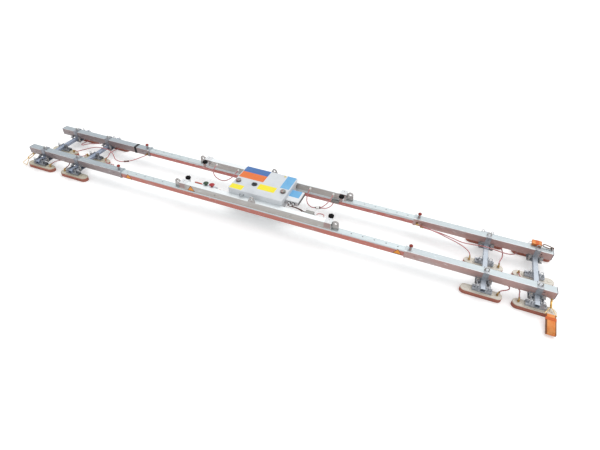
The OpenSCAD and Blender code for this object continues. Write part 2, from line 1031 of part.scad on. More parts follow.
// A stud with a spacer tube round its middle and a nut at each end
module clamp_stud() {
    nut_h = 8;
    bottom = bar_z0 - clamp_plate_h;
    translate([0, 0, bottom - nut_h])
        hexagon(16, nut_h);
    translate([0, 0, bottom - nut_h - 3])
        cylinder(r = stud_r, h = bar_height + clamp_plate_h + foot_h + 2 * nut_h + 6);
    translate([0, 0, bar_z0])
        cylinder(r = spacer_r, h = bar_height);
    translate([0, 0, sleeve_z0 + foot_h])
        hexagon(16, nut_h);
}

// Lifting eye on top of a saddle: a round bar bent over on two collars
module lifting_eye() {
    eye_r = 15;
    bar_r = 4;
    leg = 8;
    for (s = [-1, 1])
        translate([s * eye_r, 0, 0]) {
            cylinder(r = bar_r, h = leg);
            cylinder(r = bar_r + 2.5, h = 2.5);
        }
    translate([0, 0, leg])
        rotate([90, 0, 0])
            rotate_extrude(angle = 180)
                translate([eye_r, 0])
                    circle(bar_r, $fn = 24);
}

module clamp_bolts(bars) {
    color("white")
        for (x = bars, side = [-1, 1]) {
            for (sx = [-1, 1], sy = [-1, 1])
                translate([x + sx * stud_x, side * beam_y + sy * stud_y, 0])
                    clamp_stud();
            translate([x, side * beam_y, sleeve_z1 + cheek_sheet])
                lifting_eye();
        }
}

module clamp_bolts_left() { clamp_bolts(left_bars); }
module clamp_bolts_right() { clamp_bolts(right_bars); }

// Suction pads: a stadium plate with a core that fills the seal, and a doubler

module pad_plate() {
    difference() {
        union() {
            slab(pad_length - 2, pad_width - 2, seal_height, plate_edge - 2);
            slab(pad_length - 6, pad_width - 6, seal_height, plate_edge);
            slab(pad_length - 2 * seal_wall, pad_width - 2 * seal_wall,
                core_lift, seal_height - core_lift + 1);
            slab(doubler_length, doubler_width, pad_top - 1, doubler_h + 1);
            for (s = [-1, 1])
                translate([s * port_x, 0, pad_top - 1])
                    cylinder(r = 15, h = 4);
        }
        // Grooves in the core lead the air to the suction port
        for (y = [-1, 1])
            translate([-pad_length / 2 + 2 * seal_wall + 12, y * 12 - 2, 0])
                cube([pad_length - 4 * seal_wall - 24, 4, core_lift + 3]);
        block(0, 0, 0, [4, 28, core_lift + 3]);
    }
}

module pad_plates(bars) {
    color([0.86, 0.85, 0.8])
        for (x = bars, y = rows)
            translate([x, y, 0])
                pad_plate();
}

module pad_plates_left() { pad_plates(left_bars); }
module pad_plates_right() { pad_plates(right_bars); }

// Rubber seal: a ribbed stadium ring glued round the core of the plate
module pad_seal() {
    rib = 2.5;
    difference() {
        union() {
            slab(pad_length, pad_width, 0, 8);
            slab(pad_length - 2 * rib, pad_width - 2 * rib, 0, seal_height);
            slab(pad_length - 1, pad_width - 1, 12, 9);
            slab(pad_length, pad_width, 25, seal_height - 25);
        }
        slab(pad_length - 2 * seal_wall, pad_width - 2 * seal_wall, -1, seal_height + 2);
    }
}

module pad_seals(bars) {
    color([0.62, 0.36, 0.3])
        for (x = bars, y = rows)
            translate([x, y, 0])
                pad_seal();
}

module pad_seals_left() { pad_seals(left_bars); }
module pad_seals_right() { pad_seals(right_bars); }

// Bridge between a pad and its cross bar: a channel bolted to the doubler, with a
// slotted angle and a pull hoop on each side of the bar

module pad_bridge() {
    base = pad_top + doubler_h;
    rise = bar_z0 - base;
    web = 4;
    block(0, 0, bar_z0 - web, [bridge_length, bridge_width, web]);
    for (s = [-1, 1])
        block(0, s * (bridge_width / 2 - web / 2), base, [bridge_length, web, rise]);
    for (s = [-1, 1]) {
        translate([s * bridge_bolt_x, 0, base])
            cylinder(r = 6, h = rise + 2);
        translate([s * bridge_bolt_x, 0, bar_z0])
            cylinder(r = 12, h = 3);
        translate([s * bridge_bolt_x, 0, bar_z0 + 3])
            hexagon(17, 8);
        bridge_angle(s);
    }
}

// Angle against one side of the cross bar: its face has an upright slot
module bridge_angle(s) {
    x0 = bar_width / 2;
    wide = 36;
    tall = bar_height + 6;
    block(s * (x0 + 2), 0, bar_z0, [4, bridge_width, tall]);
    translate([s * (x0 + wide / 2), -bridge_width / 2 + 4, bar_z0])
        rotate([90, 0, 0])
            linear_extrude(4)
                difference() {
                    translate([-wide / 2, 0])
                        square([wide, tall]);
                    translate([s * 2, tall / 2])
                        rotate(90)
                            stadium(tall - 12, 7);
                }
    // Pull hoop bent from round bar
    translate([s * (x0 + wide / 2 + 1), -bridge_width / 2 + 2, bar_z0 + tall]) {
        for (h = [-1, 1])
            translate([h * 11, 0, -2])
                cylinder(r = 2, h = 12, $fn = 16);
        translate([0, 0, 10])
            rotate([90, 0, 0])
                rotate_extrude(angle = 180, $fn = 32)
                    translate([11, 0])
                        circle(2, $fn = 16);
    }
}

module pad_bridges(bars) {
    color([0.8, 0.83, 0.88])
        for (x = bars, y = rows)
            mirror([0, y > 0 ? 1 : 0, 0])
                translate([x, -abs(y), 0])
                    pad_bridge();
}

module pad_bridges_left() { pad_bridges(left_bars); }
module pad_bridges_right() { pad_bridges(right_bars); }

// Hose fittings: a hexagon and a stem on the origin with level arms at angles
port_z = pad_top + 3;
arm_h = 22;
arm_reach = 22;
arm_z = port_z + arm_h;

module elbow(angles) {
    hexagon(17, 8);
    cylinder(r = 6.5, h = arm_h);
    translate([0, 0, arm_h])
        sphere(6.5);
    for (angle = angles)
        rotate(angle)
            translate([0, 0, arm_h])
                rotate([0, 90, 0]) {
                    cylinder(r = 5.6, h = arm_reach);
                    translate([0, 0, arm_reach - 7])
                        cylinder(r = 7, h = 7);
                }
}

// The port and the arms of each pad, by row from near to far: [port end, angles]
right_ports = [
    [[1, [60]], [-1, [90]], [1, [-90]]],
    [[-1, [90]], [-1, [-90]], [-1, [-90]]]
];
left_ports = [
    [[-1, [90]], [1, [90, -45]], [1, [-90]]],
    [[1, [90]], [1, [0]], [1, [-90]]]
];
// Second ports, for the pads that pass the vacuum on: [bar, row, port end, angles]
right_extra_ports = [[0, 1, 1, [90]]];
left_extra_ports = [[0, 1, -1, [-90]], [0, 2, -1, [-90]]];

module pad_elbows(bars, ports, extra) {
    for (b = [0, 1], r = [0:2])
        translate([bars[b] + ports[b][r][0] * port_x, rows[r], port_z])
            elbow(ports[b][r][1]);
    for (e = extra)
        translate([bars[e[0]] + e[2] * port_x, rows[e[1]], port_z])
            elbow(e[3]);
}

// Where the sleeves' own fittings sit, measured from the outer cross bar
left_front = 944;
left_back = [305, 795];
left_under = 245;
right_front = [-1000, -960];
right_front_z = [beam_z - 5, beam_z - 21];
right_back = -112;
right_under = [-246, -164];

module hose_fittings_left() {
    x0 = left_bars[1];
    color([0.72, 0.6, 0.36]) {
        pad_elbows(left_bars, left_ports, left_extra_ports);
        translate([x0 + left_front, beam_y - sleeve_size / 2, beam_z - 15])
            rotate([90, 0, 0])
                push_fitting();
        for (x = left_back)
            translate([x0 + x, -beam_y + sleeve_size / 2, beam_z])
                rotate([-90, 0, 0])
                    push_fitting();
        translate([x0 + left_under, -beam_y, sleeve_z0])
            rotate([180, 0, 0])
                elbow([0, 180]);
    }
}

module hose_fittings_right() {
    x0 = right_bars[1];
    color([0.72, 0.6, 0.36]) {
        pad_elbows(right_bars, right_ports, right_extra_ports);
        for (k = [0, 1])
            translate([x0 + right_front[k], beam_y - sleeve_size / 2, right_front_z[k]])
                rotate([90, 0, 0])
                    elbow([0]);
        translate([x0 + right_back, -beam_y + sleeve_size / 2, beam_z])
            rotate([-90, 0, 0])
                push_fitting();
        for (x = right_under)
            translate([x0 + x, -beam_y, sleeve_z0])
                rotate([180, 0, 0])
                    elbow([0]);
    }
}

// Locking pins: a red knob on a pin in the boss, drawn up and parked

module lock_pin(end, side) {
    color([0.75, 0.12, 0.12])
        translate([end * lock_x(end), side * beam_y, 0]) {
            tip = sleeve_z1 - sleeve_wall + 0.5;
            knob = sleeve_z1 + boss_h + pin_stroke + clearance;
            translate([0, 0, tip])
                cylinder(r = pin_r, h = knob - tip + 1);
            translate([0, 0, knob])
                cylinder(r1 = 10, r2 = 16, h = 6);
            translate([0, 0, knob + 6])
                cylinder(r = 16, h = 8);
            translate([0, 0, knob + 14])
                cylinder(r1 = 16, r2 = 10, h = 6);
        }
}

module lock_pin_near_left() { lock_pin(-1, -1); }
module lock_pin_far_left() { lock_pin(-1, 1); }
module lock_pin_near_right() { lock_pin(1, -1); }
module lock_pin_far_right() { lock_pin(1, 1); }

// Snap hook: an eye for the peg and a long wire loop, hanging along -Z, with a
// stretch of one arm left open for the gate

module snap_hook(gated, yaw = 0) {
    arm = hook_wire / 2;
    loop_z = -hook_eye_r - arm - 2 - hook_half;
    low_z = loop_z + 2 * hook_half - hook_length;
    gate_end = gate_pivot_z - gate_length;
    // The eye lies on the peg with a little play
    translate([0, 0, (peg_r + clearance + arm) / cos(yaw) - hook_eye_r - arm])
        rotate([0, 90, 0])
            rotate_extrude()
                translate([hook_eye_r + arm, 0])
                    circle(arm, $fn = 24);
    translate([0, 0, loop_z])
        rotate([90, 0, 90])
            rotate_extrude(angle = 180)
                translate([hook_half, 0])
                    circle(arm, $fn = 24);
    translate([0, 0, low_z])
        rotate([-90, 0, -90])
            rotate_extrude(angle = 180)
                translate([hook_half, 0])
                    circle(arm, $fn = 24);
    translate([0, hook_half, low_z])
        cylinder(r = arm, h = loop_z - low_z, $fn = 24);
    if (gated) {
        translate([0, -hook_half, low_z])
            cylinder(r = arm, h = gate_end - clearance - low_z, $fn = 24);
        // Two cheeks and a pin carry the gate
        for (s = [-1, 1])
            block(s * 3.4, -hook_half, gate_pivot_z - 3, [1.4, 6, loop_z + 5 - gate_pivot_z]);
        translate([0, -hook_half, gate_pivot_z])
            rotate([0, 90, 0])
                cylinder(r = gate_pin_r, h = 7.6, center = true);
    } else {
        translate([0, -hook_half, low_z])
            cylinder(r = arm, h = loop_z - low_z, $fn = 24);
    }
}

// Gate of a snap hook: a flat finger with a pivot eye, closing the open arm
module snap_gate() {
    thick = 4.8;
    difference() {
        union() {
            rotate([0, 90, 0])
                cylinder(r = 3, h = thick, center = true);
            block(0, 0, -gate_length, [thick, 5, gate_length]);
        }
        rotate([0, 90, 0])
            cylinder(r = gate_pin_r + run_fit, h = thick + 2, center = true);
    }
}

// Places a child on a near peg, turned the way that side's hook hangs
module on_peg(end) {
    translate([hook_x(end), hook_y, hook_z])
        rotate([-hook_tilt, 0, end > 0 ? 0 : -left_hook_yaw])
            children();
}

module hook_near_left() {
    color([0.78, 0.62, 0.25])
        on_peg(-1)
            snap_hook(true, left_hook_yaw);
}

module hook_near_right() {
    color([0.78, 0.62, 0.25])
        on_peg(1)
            snap_hook(true);
}

module hook_gate_left() {
    color([0.78, 0.62, 0.25])
        on_peg(-1)
            translate([0, -hook_half, gate_pivot_z])
                snap_gate();
}

module hook_gate_right() {
    color([0.78, 0.62, 0.25])
        on_peg(1)
            translate([0, -hook_half, gate_pivot_z])
                snap_gate();
}

// The far hook is a plain closed link, lying along the top of its sleeve
far_hook_tilt = 10;

module hook_far_right() {
    color([0.45, 0.32, 0.2])
        translate([far_hook_x, far_hook_y, far_hook_z])
            rotate([0, 90 + far_hook_tilt, 0])
                rotate([0, 0, 90])
                    snap_hook(false);
}

// Triangular strap ring: round bar bent to a triangle, with its apex at the origin
// and its base along X at the bottom
ring_h = 74;
ring_half = strap_width / 2 + 6.5;
ring_top = 5;

module ring_bar(a, b) {
    d = b - a;
    translate(a)
        rotate([0, acos(d[2] / norm(d)), atan2(d[1], d[0])])
            cylinder(r = ring_r, h = norm(d), $fn = 20);
    // The bend at each corner is a little fuller than the bar
    translate(a)
        sphere(ring_r + 0.2, $fn = 20);
}

module strap_ring() {
    corners = [
        [-ring_top, 0, 0], [ring_top, 0, 0],
        [ring_half, 0, -ring_h], [-ring_half, 0, -ring_h]
    ];
    for (k = [0:3])
        ring_bar(corners[k], corners[(k + 1) % 4]);
}

// A ring lies in the far end of its hook's loop; the right one over the pad's end
hook_reach = hook_eye_r + hook_wire / 2 + 2 + hook_length;
ring_at = hook_reach - hook_wire / 2 - ring_r - clearance;
right_ring_turn = 12;
left_ring_turn = -18;

module on_ring(end) {
    on_peg(end)
        translate([0, 0, -ring_at])
            rotate([end > 0 ? -right_ring_turn : -left_ring_turn, 0, 0])
                children();
}

module strap_ring_left() {
    color("silver")
        on_ring(-1)
            strap_ring();
}

module strap_ring_right() {
    color("silver")
        on_ring(1)
            strap_ring();
}

// Safety straps: webbing laid in folds and held by a keeper band. The near one goes
// round the base of its ring, and both of its halves are folded up
bundle_length = 168;
bundle_turn = -2;
layer = 2.3;
layer_pitch = layer + 1;
layers = 6;
keeper_sheet = 1.6;
keeper_length = 26;
pack_thick = (layers - 1) * layer_pitch + layer;
far_width = 56;

// Centre line of layers that start at y and go outwards between two heights, the
// first one downwards, with a round fold from each to the next
function folds(y, count, low, high) = [for (k = [0:count - 1]) each
    let (
        down = k % 2 == 0,
        at = y + k * layer_pitch,
        r = layer_pitch / 2
    )
    k == count - 1
        ? [[at, down ? low : high]]
        : [for (a = [0:30:180])
            [at + r - r * cos(a), down ? low + r - r * sin(a) : high - r + r * sin(a)]]
];

// Outline of webbing of one thickness along a centre line
function side_of(p, k) = let (d = heading(p, k)) layer / 2 * [-d[1], d[0]];
function webbing(p) = concat(
    [for (k = [0:len(p) - 1]) p[k] + side_of(p, k)],
    [for (k = [len(p) - 1:-1:0]) p[k] - side_of(p, k)]
);

// Folded webbing along Z with its layers stacked along Y, and its keeper band
module folded_strap(path, width, keeper_z) {
    rotate([90, 0, 90])
        linear_extrude(width, center = true)
            polygon(webbing(path));
    translate([0, 0, keeper_z])
        linear_extrude(keeper_length)
            difference() {
                square([width + 2 * keeper_sheet, pack_thick + 2 * keeper_sheet], center = true);
                square([width - 0.4, pack_thick - 0.4], center = true);
            }
}

module strap_near() {
    loop_r = 1.5 * layer_pitch;
    loop_z = ring_r + clearance + layer / 2 - loop_r;
    low = -ring_r - clearance - bundle_length + layer / 2;
    high = -24;
    half = concat(
        [for (a = [90:-22.5:0]) [loop_r * cos(a), loop_z + loop_r * sin(a)]],
        [[layer_pitch / 2, loop_z - 14]],
        folds(layer_pitch / 2, layers / 2, low, high)
    );
    other = [for (k = [len(half) - 1:-1:1]) [-half[k][0], half[k][1]]];
    color("orange")
        on_ring(1)
            translate([0, 0, -ring_h])
                rotate([-bundle_turn, 0, 0])
                    folded_strap(concat(other, half), strap_width, high - 38);
}

module strap_far() {
    length = 74;
    first = -(layers - 1) / 2 * layer_pitch;
    z = sleeve_z1 + cheek_sheet + clearance + pack_thick / 2 + keeper_sheet;
    color("orange")
        translate([far_hook_x - hook_reach - length - 5, beam_y + 40, z])
            rotate([90, 0, 90])
                folded_strap(concat([[first, length]], folds(first, layers, 0, length)),
                    far_width, 26);
}

// Hoses: round tubes swept along routes chosen by hand

function unit(v) = v / norm(v);

// Direction of a route at point k, along the chord of its neighbours
function heading(p, k) =
    let (n = len(p) - 1)
    unit(p[min(k + 1, n)] - p[max(k - 1, 0)]);

function hose_ring(p, k, sides, r) =
    let (
        d = heading(p, k),
        up = abs(d[2]) > 0.9 ? [1, 0, 0] : [0, 0, 1],
        a = unit(cross(d, up)),
        b = cross(a, d)
    )
    [for (i = [0:sides - 1])
        p[k] + r * (cos(i * 360 / sides) * a + sin(i * 360 / sides) * b)];

module hose(route, diameter = hose_diameter) {
    sides = 8;
    last = len(route) - 1;
    points = [for (k = [0:last]) each hose_ring(route, k, sides, diameter / 2)];
    walls = [for (k = [0:last - 1], i = [0:sides - 1])
        let (
            a = k * sides + i,
            b = k * sides + (i + 1) % sides
        )
        each [[a, a + sides, b], [b, a + sides, b + sides]]];
    ends = [
        [for (i = [0:sides - 1]) i],
        [for (i = [0:sides - 1]) last * sides + sides - 1 - i]
    ];
    color([0.75, 0.45, 0.45])
        polyhedron(points, concat(walls, ends), convexity = 6);
}

// Where a hose leaves an arm of a pad's elbow, and a point straight on from there
function port(bar, row, end, angle, on) =
    let (d = arm_reach + on)
    [bar + end * port_x + d * cos(angle), row * row_pitch + d * sin(angle), arm_z];

// Where a hose leaves a fitting on a sleeve or tube: a place and a way on from it
function off(place, way, on) = place + (fitting_reach + on) * way;
function off_arm(place, way, turn, on) =
    place + arm_h * way + (arm_reach + on) * turn;

function moved(points, x) = [for (p = points) p + [x, 0, 0]];

lead = 12;

// Hoses of the centre unit, each from one push-in fitting to another
far_face = [0, inner_y, fitting_z];
near_face = [0, -inner_y, fitting_z];

module centre_hose(x0, x1, face, way, middle) {
    hose(concat(
        [off([x0, 0, 0] + face, way, 0), off([x0, 0, 0] + face, way, lead)],
        middle,
        [off([x1, 0, 0] + face, way, lead), off([x1, 0, 0] + face, way, 0)]
    ));
}

// Branch piece where the right hose divides: one barrel in, two out
branch = [508, 8, 150];
branch_turn = 23;
branch_length = 52;
function on_branch(x, y) =
    branch + [x * cos(branch_turn) - y * sin(branch_turn),
        x * sin(branch_turn) + y * cos(branch_turn), 0];

module branch_piece() {
    barrel = 12;
    translate(branch)
        rotate(branch_turn) {
            rotate([0, 90, 0])
                cylinder(r = 7, h = barrel + 1);
            block(branch_length / 2, 0, -7, [branch_length - 2 * barrel, 30, 14]);
            for (y = [-8, 8])
                translate([branch_length - barrel - 1, y, 0])
                    rotate([0, 90, 0])
                        cylinder(r = 6.5, h = barrel + 1);
        }
}

// The charger's leads, from its sockets to the glands of the junction box
module charger_leads() {
    front = side_y - side_d / 2 - socket_reach;
    mid = -inner_y + box_d / 2;
    hose([
        [side_x + sockets[1], front, socket_z], [side_x + sockets[1], front - 12, socket_z],
        [352, -146, 222], [377, -157, 229], [410, -163, 230], [442, -165, 224],
        [gland_x - 12, mid + 8, socket_z], [gland_x, mid + 8, socket_z]
    ], lead_diameter);
    hose([
        [side_x + sockets[0], front, socket_z], [side_x + sockets[0], front - 12, socket_z],
        [308, -150, 222], [334, -168, 234], [375, -178, 242], [415, -183, 240],
        [446, -183, 228], [gland_x - 12, mid - 8, socket_z], [gland_x, mid - 8, socket_z]
    ], lead_diameter);
}

module centre_hoses() {
    way = [0, -1, 0];
    from = [fittings_far[2], 0, 0] + far_face;
    to = [fittings_far[3], 0, 0] + far_face;
    centre_hose(fittings_far[0], fittings_far[1], far_face, [0, -1, 0],
        [[-600, 120, 195], [-575, 82, 168], [-520, 58, 150], [-450, 55, 148],
            [-400, 90, 166], [-370, 130, 196]]);
    hose([
        off(from, way, 0), off(from, way, lead), [395, 122, 194], [401, 88, 170],
        [418, 52, 154], [446, 24, 148], [476, 8, 147], on_branch(-lead, 0), on_branch(0, 0)
    ]);
    hose([
        on_branch(branch_length, 8), on_branch(branch_length + lead, 8), [584, 60, 162],
        [606, 92, 182], [620, 130, 204], off(to, way, lead), off(to, way, 0)
    ]);
    hose([
        on_branch(branch_length, -8), on_branch(branch_length + lead, -8), [598, 44, 144],
        [622, 76, 141], [636, 108, 142], valve_port - [0, lead, 0], valve_port
    ]);
    charger_leads();
    centre_hose(fittings_near[0], fittings_near[1], near_face, [0, 1, 0],
        [[588, -138, 208], [602, -122, 202], [628, -122, 202], [642, -138, 208]]);
}

// Hoses of the left end frame, measured along X from its outer cross bar

module hoses_left() {
    bar0 = left_bars[0];
    bar1 = left_bars[1];
    back = -beam_y + sleeve_size / 2;
    front = [bar1 + left_front, beam_y - sleeve_size / 2, beam_z - 15];
    // Long supply hose, from the far sleeve over the inner bar to the middle pad
    hose(concat(
        [off(front, [0, -1, 0], 0), off(front, [0, -1, 0], lead)],
        moved([[915, 125, 113], [880, 80, 104], [830, 25, 99], [765, -14, 98],
            [700, -12, 101], [645, 25, 106], [585, 72, 110], [520, 100, 113],
            [455, 107, 114], [390, 104, 112], [325, 92, 103], [265, 66, 88],
            [210, 30, 74]], bar1),
        [port(bar1, 0, 1, 0, lead * 2), port(bar1, 0, 1, 0, 0)]
    ));
    // From the middle pad of the inner bar to the far pad
    hose(concat(
        [port(bar0, 0, 1, 90, 0), port(bar0, 0, 1, 90, lead)],
        moved([[530, 70, 70], [512, 110, 69], [510, 160, 67], [524, 220, 66]], bar1),
        [port(bar0, 1, 1, -90, lead), port(bar0, 1, 1, -90, 0)]
    ));
    // From the same pad to the back of the near sleeve
    hose(concat(
        [port(bar0, 0, 1, -45, 0), port(bar0, 0, 1, -45, lead)],
        moved([[610, -60, 74], [680, -95, 92], [745, -122, 118], [785, -140, 135]], bar1),
        [off([bar1 + left_back[1], back, beam_z], [0, 1, 0], lead / 2),
            off([bar1 + left_back[1], back, beam_z], [0, 1, 0], 0)]
    ));
    // Between the two far pads, looping out in front of the sleeve
    hose(concat(
        [port(bar1, 1, 1, -90, 0), port(bar1, 1, 1, -90, lead)],
        moved([[112, 250, 62], [96, 200, 57], [86, 160, 54], [98, 141, 54],
            [132, 160, 58], [176, 192, 63], [232, 214, 66], [276, 236, 66]], bar1),
        [port(bar0, 1, -1, -90, lead * 2), port(bar0, 1, -1, -90, 0)]
    ));
    // From the two near pads up to the tee under the near sleeve
    under = [bar1 + left_under, -beam_y, sleeve_z0];
    hose(concat(
        [port(bar1, -1, 1, 90, 0), port(bar1, -1, 1, 90, lead)],
        moved([[122, -272, 70], [140, -248, 74], [168, -233, 79]], bar1),
        [off_arm(under, [0, 0, -1], [-1, 0, 0], lead), off_arm(under, [0, 0, -1], [-1, 0, 0], 0)]
    ));
    hose(concat(
        [port(bar0, -1, -1, 90, 0), port(bar0, -1, -1, 90, lead)],
        moved([[303, -270, 70], [295, -245, 75]], bar1),
        [off_arm(under, [0, 0, -1], [1, 0, 0], lead), off_arm(under, [0, 0, -1], [1, 0, 0], 0)]
    ));
    // Middle pad of the inner bar to the near sleeve
    hose(concat(
        [port(bar0, 0, -1, -90, 0), port(bar0, 0, -1, -90, lead)],
        moved([[305, -70, 76], [304, -110, 96], [304, -138, 120]], bar1),
        [off([bar1 + left_back[0], back, beam_z], [0, 1, 0], lead / 2),
            off([bar1 + left_back[0], back, beam_z], [0, 1, 0], 0)]
    ));
}

// Hoses of the right end frame, along X from its outer cross bar

module hoses_right() {
    bar0 = right_bars[0];
    bar1 = right_bars[1];
    back = [bar1 + right_back, -beam_y + sleeve_size / 2, beam_z];
    way = [0, -1, 0];
    fronts = [for (k = [0, 1])
        [bar1 + right_front[k], beam_y - sleeve_size / 2, right_front_z[k]]];
    unders = [for (k = [0, 1]) [bar1 + right_under[k], -beam_y, sleeve_z0]];
    // Supply hose of the middle pad
    hose(concat(
        [off_arm(fronts[0], way, [1, 0, 0], 0), off_arm(fronts[0], way, [1, 0, 0], lead)],
        moved([[-855, 148, 128], [-770, 136, 118], [-690, 122, 106], [-620, 108, 96],
            [-565, 90, 84], [-525, 66, 72]], bar1),
        [port(bar0, 0, -1, 90, lead), port(bar0, 0, -1, 90, 0)]
    ));
    // Supply hose of the far pad of the outer bar, which crosses the inner bar
    hose(concat(
        [off_arm(fronts[1], way, [1, 0, 0], 0), off_arm(fronts[1], way, [1, 0, 0], lead)],
        moved([[-800, 162, 114], [-695, 144, 111], [-590, 122, 107], [-510, 121, 112],
            [-420, 131, 116], [-345, 133, 112], [-285, 142, 98], [-225, 158, 82],
            [-165, 190, 69], [-126, 240, 66]], bar1),
        [port(bar1, 1, -1, -90, lead), port(bar1, 1, -1, -90, 0)]
    ));
    // From the far pad of the inner bar, curling round to the middle pad
    hose(concat(
        [port(bar0, 1, 1, -90, 0), port(bar0, 1, 1, -90, lead)],
        moved([[-267, 250, 66], [-254, 200, 67], [-250, 150, 69], [-256, 100, 69],
            [-268, 62, 67]], bar1),
        [port(bar0, 0, 1, 90, lead), port(bar0, 0, 1, 90, 0)]
    ));
    // From the two near pads up to the elbows under the near sleeve
    hose(concat(
        [port(bar0, -1, 1, 60, 0), port(bar0, -1, 1, 60, lead)],
        moved([[-240, -287, 68], [-212, -274, 72], [-194, -254, 77], [-200, -234, 80]], bar1),
        [off_arm(unders[0], [0, 0, -1], [1, 0, 0], 6), off_arm(unders[0], [0, 0, -1], [1, 0, 0], 0)]
    ));
    hose(concat(
        [port(bar1, -1, -1, 90, 0), port(bar1, -1, -1, 90, lead)],
        moved([[-118, -272, 70], [-118, -246, 76]], bar1),
        [off_arm(unders[1], [0, 0, -1], [1, 0, 0], 6), off_arm(unders[1], [0, 0, -1], [1, 0, 0], 0)]
    ));
    // Middle pad of the outer bar to the near sleeve
    hose(concat(
        [port(bar1, 0, -1, -90, 0), port(bar1, 0, -1, -90, lead)],
        moved([[-116, -70, 76], [-114, -110, 96], [-112, -138, 120]], bar1),
        [off(back, [0, 1, 0], lead / 2), off(back, [0, 1, 0], 0)]
    ));
}

beam_near();
beam_far();
upper_tubes();
cross_members();
end_brackets();
lifting_lugs();
case_tub();
battery();
vacuum_pumps();
control_board();
hinge_pins();
valve_block();
side_unit();
junction_box();
tube_fittings();
centre_hoses();
lid();
vacuum_gauges();
gauge_needle_left();
gauge_needle_right();
main_switch();
star_knob_near_left();
star_knob_near_right();
star_knob_far_left();
star_knob_far_right();
release_button();
grip_button();
sleeves_left();
end_caps_left();
cross_bars_left();
crossing_clamps_left();
clamp_bolts_left();
pad_plates_left();
pad_seals_left();
pad_bridges_left();
hose_fittings_left();
hoses_left();
sleeves_right();
end_caps_right();
cross_bars_right();
crossing_clamps_right();
clamp_bolts_right();
pad_plates_right();
pad_seals_right();
pad_bridges_right();
hose_fittings_right();
hoses_right();
lock_pin_near_left();
lock_pin_far_left();
lock_pin_near_right();
lock_pin_far_right();
hook_near_left();
hook_near_right();
hook_far_right();
hook_gate_left();
hook_gate_right();
strap_ring_left();
strap_ring_right();
strap_near();
strap_far();
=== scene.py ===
import math

import bmesh
import bpy
from mathutils import Matrix, Vector


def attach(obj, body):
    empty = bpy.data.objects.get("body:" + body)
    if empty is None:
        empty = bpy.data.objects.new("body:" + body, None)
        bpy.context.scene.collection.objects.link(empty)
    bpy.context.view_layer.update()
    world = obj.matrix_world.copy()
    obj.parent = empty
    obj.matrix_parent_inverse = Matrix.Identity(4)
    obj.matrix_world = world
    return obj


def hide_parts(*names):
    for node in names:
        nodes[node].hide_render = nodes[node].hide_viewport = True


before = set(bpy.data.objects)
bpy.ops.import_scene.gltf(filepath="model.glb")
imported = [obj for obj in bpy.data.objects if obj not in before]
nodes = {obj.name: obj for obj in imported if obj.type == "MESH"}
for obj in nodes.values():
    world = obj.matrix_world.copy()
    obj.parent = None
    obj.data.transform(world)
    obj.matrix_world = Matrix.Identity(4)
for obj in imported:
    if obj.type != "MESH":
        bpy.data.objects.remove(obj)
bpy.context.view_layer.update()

# Camera: it stands in front of the machine's right half, well above a person's head, and
# looks down and to the left, as the photograph does, with a wide lens and a slight roll.
lens_px = 430.72
photo_width_px = 600
camera_place = Vector((1.425, -2.989, 2.540))
camera_yaw, camera_pitch, camera_roll = -0.337, 0.694, 0.052

ahead = Vector((
    math.sin(camera_yaw) * math.cos(camera_pitch),
    math.cos(camera_yaw) * math.cos(camera_pitch),
    -math.sin(camera_pitch),
))
level = Vector((math.cos(camera_yaw), -math.sin(camera_yaw), 0))
above = level.cross(ahead)
right = math.cos(camera_roll) * level + math.sin(camera_roll) * above
up = math.cos(camera_roll) * above - math.sin(camera_roll) * level
camera = bpy.data.objects.new("camera", bpy.data.cameras.new("camera"))
bpy.context.scene.collection.objects.link(camera)
camera.data.sensor_width = 36
camera.data.lens = lens_px / photo_width_px * camera.data.sensor_width
camera.data.clip_end = 100
camera.matrix_world = Matrix.Translation(camera_place) @ Matrix(
    (right, up, -ahead)).transposed().to_4x4()
bpy.context.scene.camera = camera
bpy.context.scene.view_settings.view_transform = "Standard"


# Hoses: clear red polyurethane tube, 9 mm across, cut to length and pushed into brass
# and plastic fittings. Each lies along the route that the solid model gives it.
class Socket:
    """An output of a material's node. Arithmetic on it adds Math nodes."""

    def __init__(self, finish, socket):
        self.finish, self.socket = finish, socket

    def maths(self, operation, a, b=0.0):
        return self.finish.add("ShaderNodeMath", {"operation": operation}, {0: a, 1: b})

    def __add__(self, other):
        return self.maths("ADD", self, other)

    __radd__ = __add__

    def __sub__(self, other):
        return self.maths("SUBTRACT", self, other)

    def __rsub__(self, other):
        return self.maths("SUBTRACT", other, self)

    def __mul__(self, other):
        return self.maths("MULTIPLY", self, other)

    __rmul__ = __mul__

    def __gt__(self, other):
        return self.maths("GREATER_THAN", self, other)

    def __lt__(self, other):
        return self.maths("LESS_THAN", self, other)

    def __abs__(self):
        return self.maths("ABSOLUTE", self)

    def between(self, low, high):
        """0 below low and 1 above high, with a smooth step between them."""
        return self.finish.add(
            "ShaderNodeMapRange", {"interpolation_type": "SMOOTHSTEP"},
            {"Value": self, "From Min": low, "From Max": high})


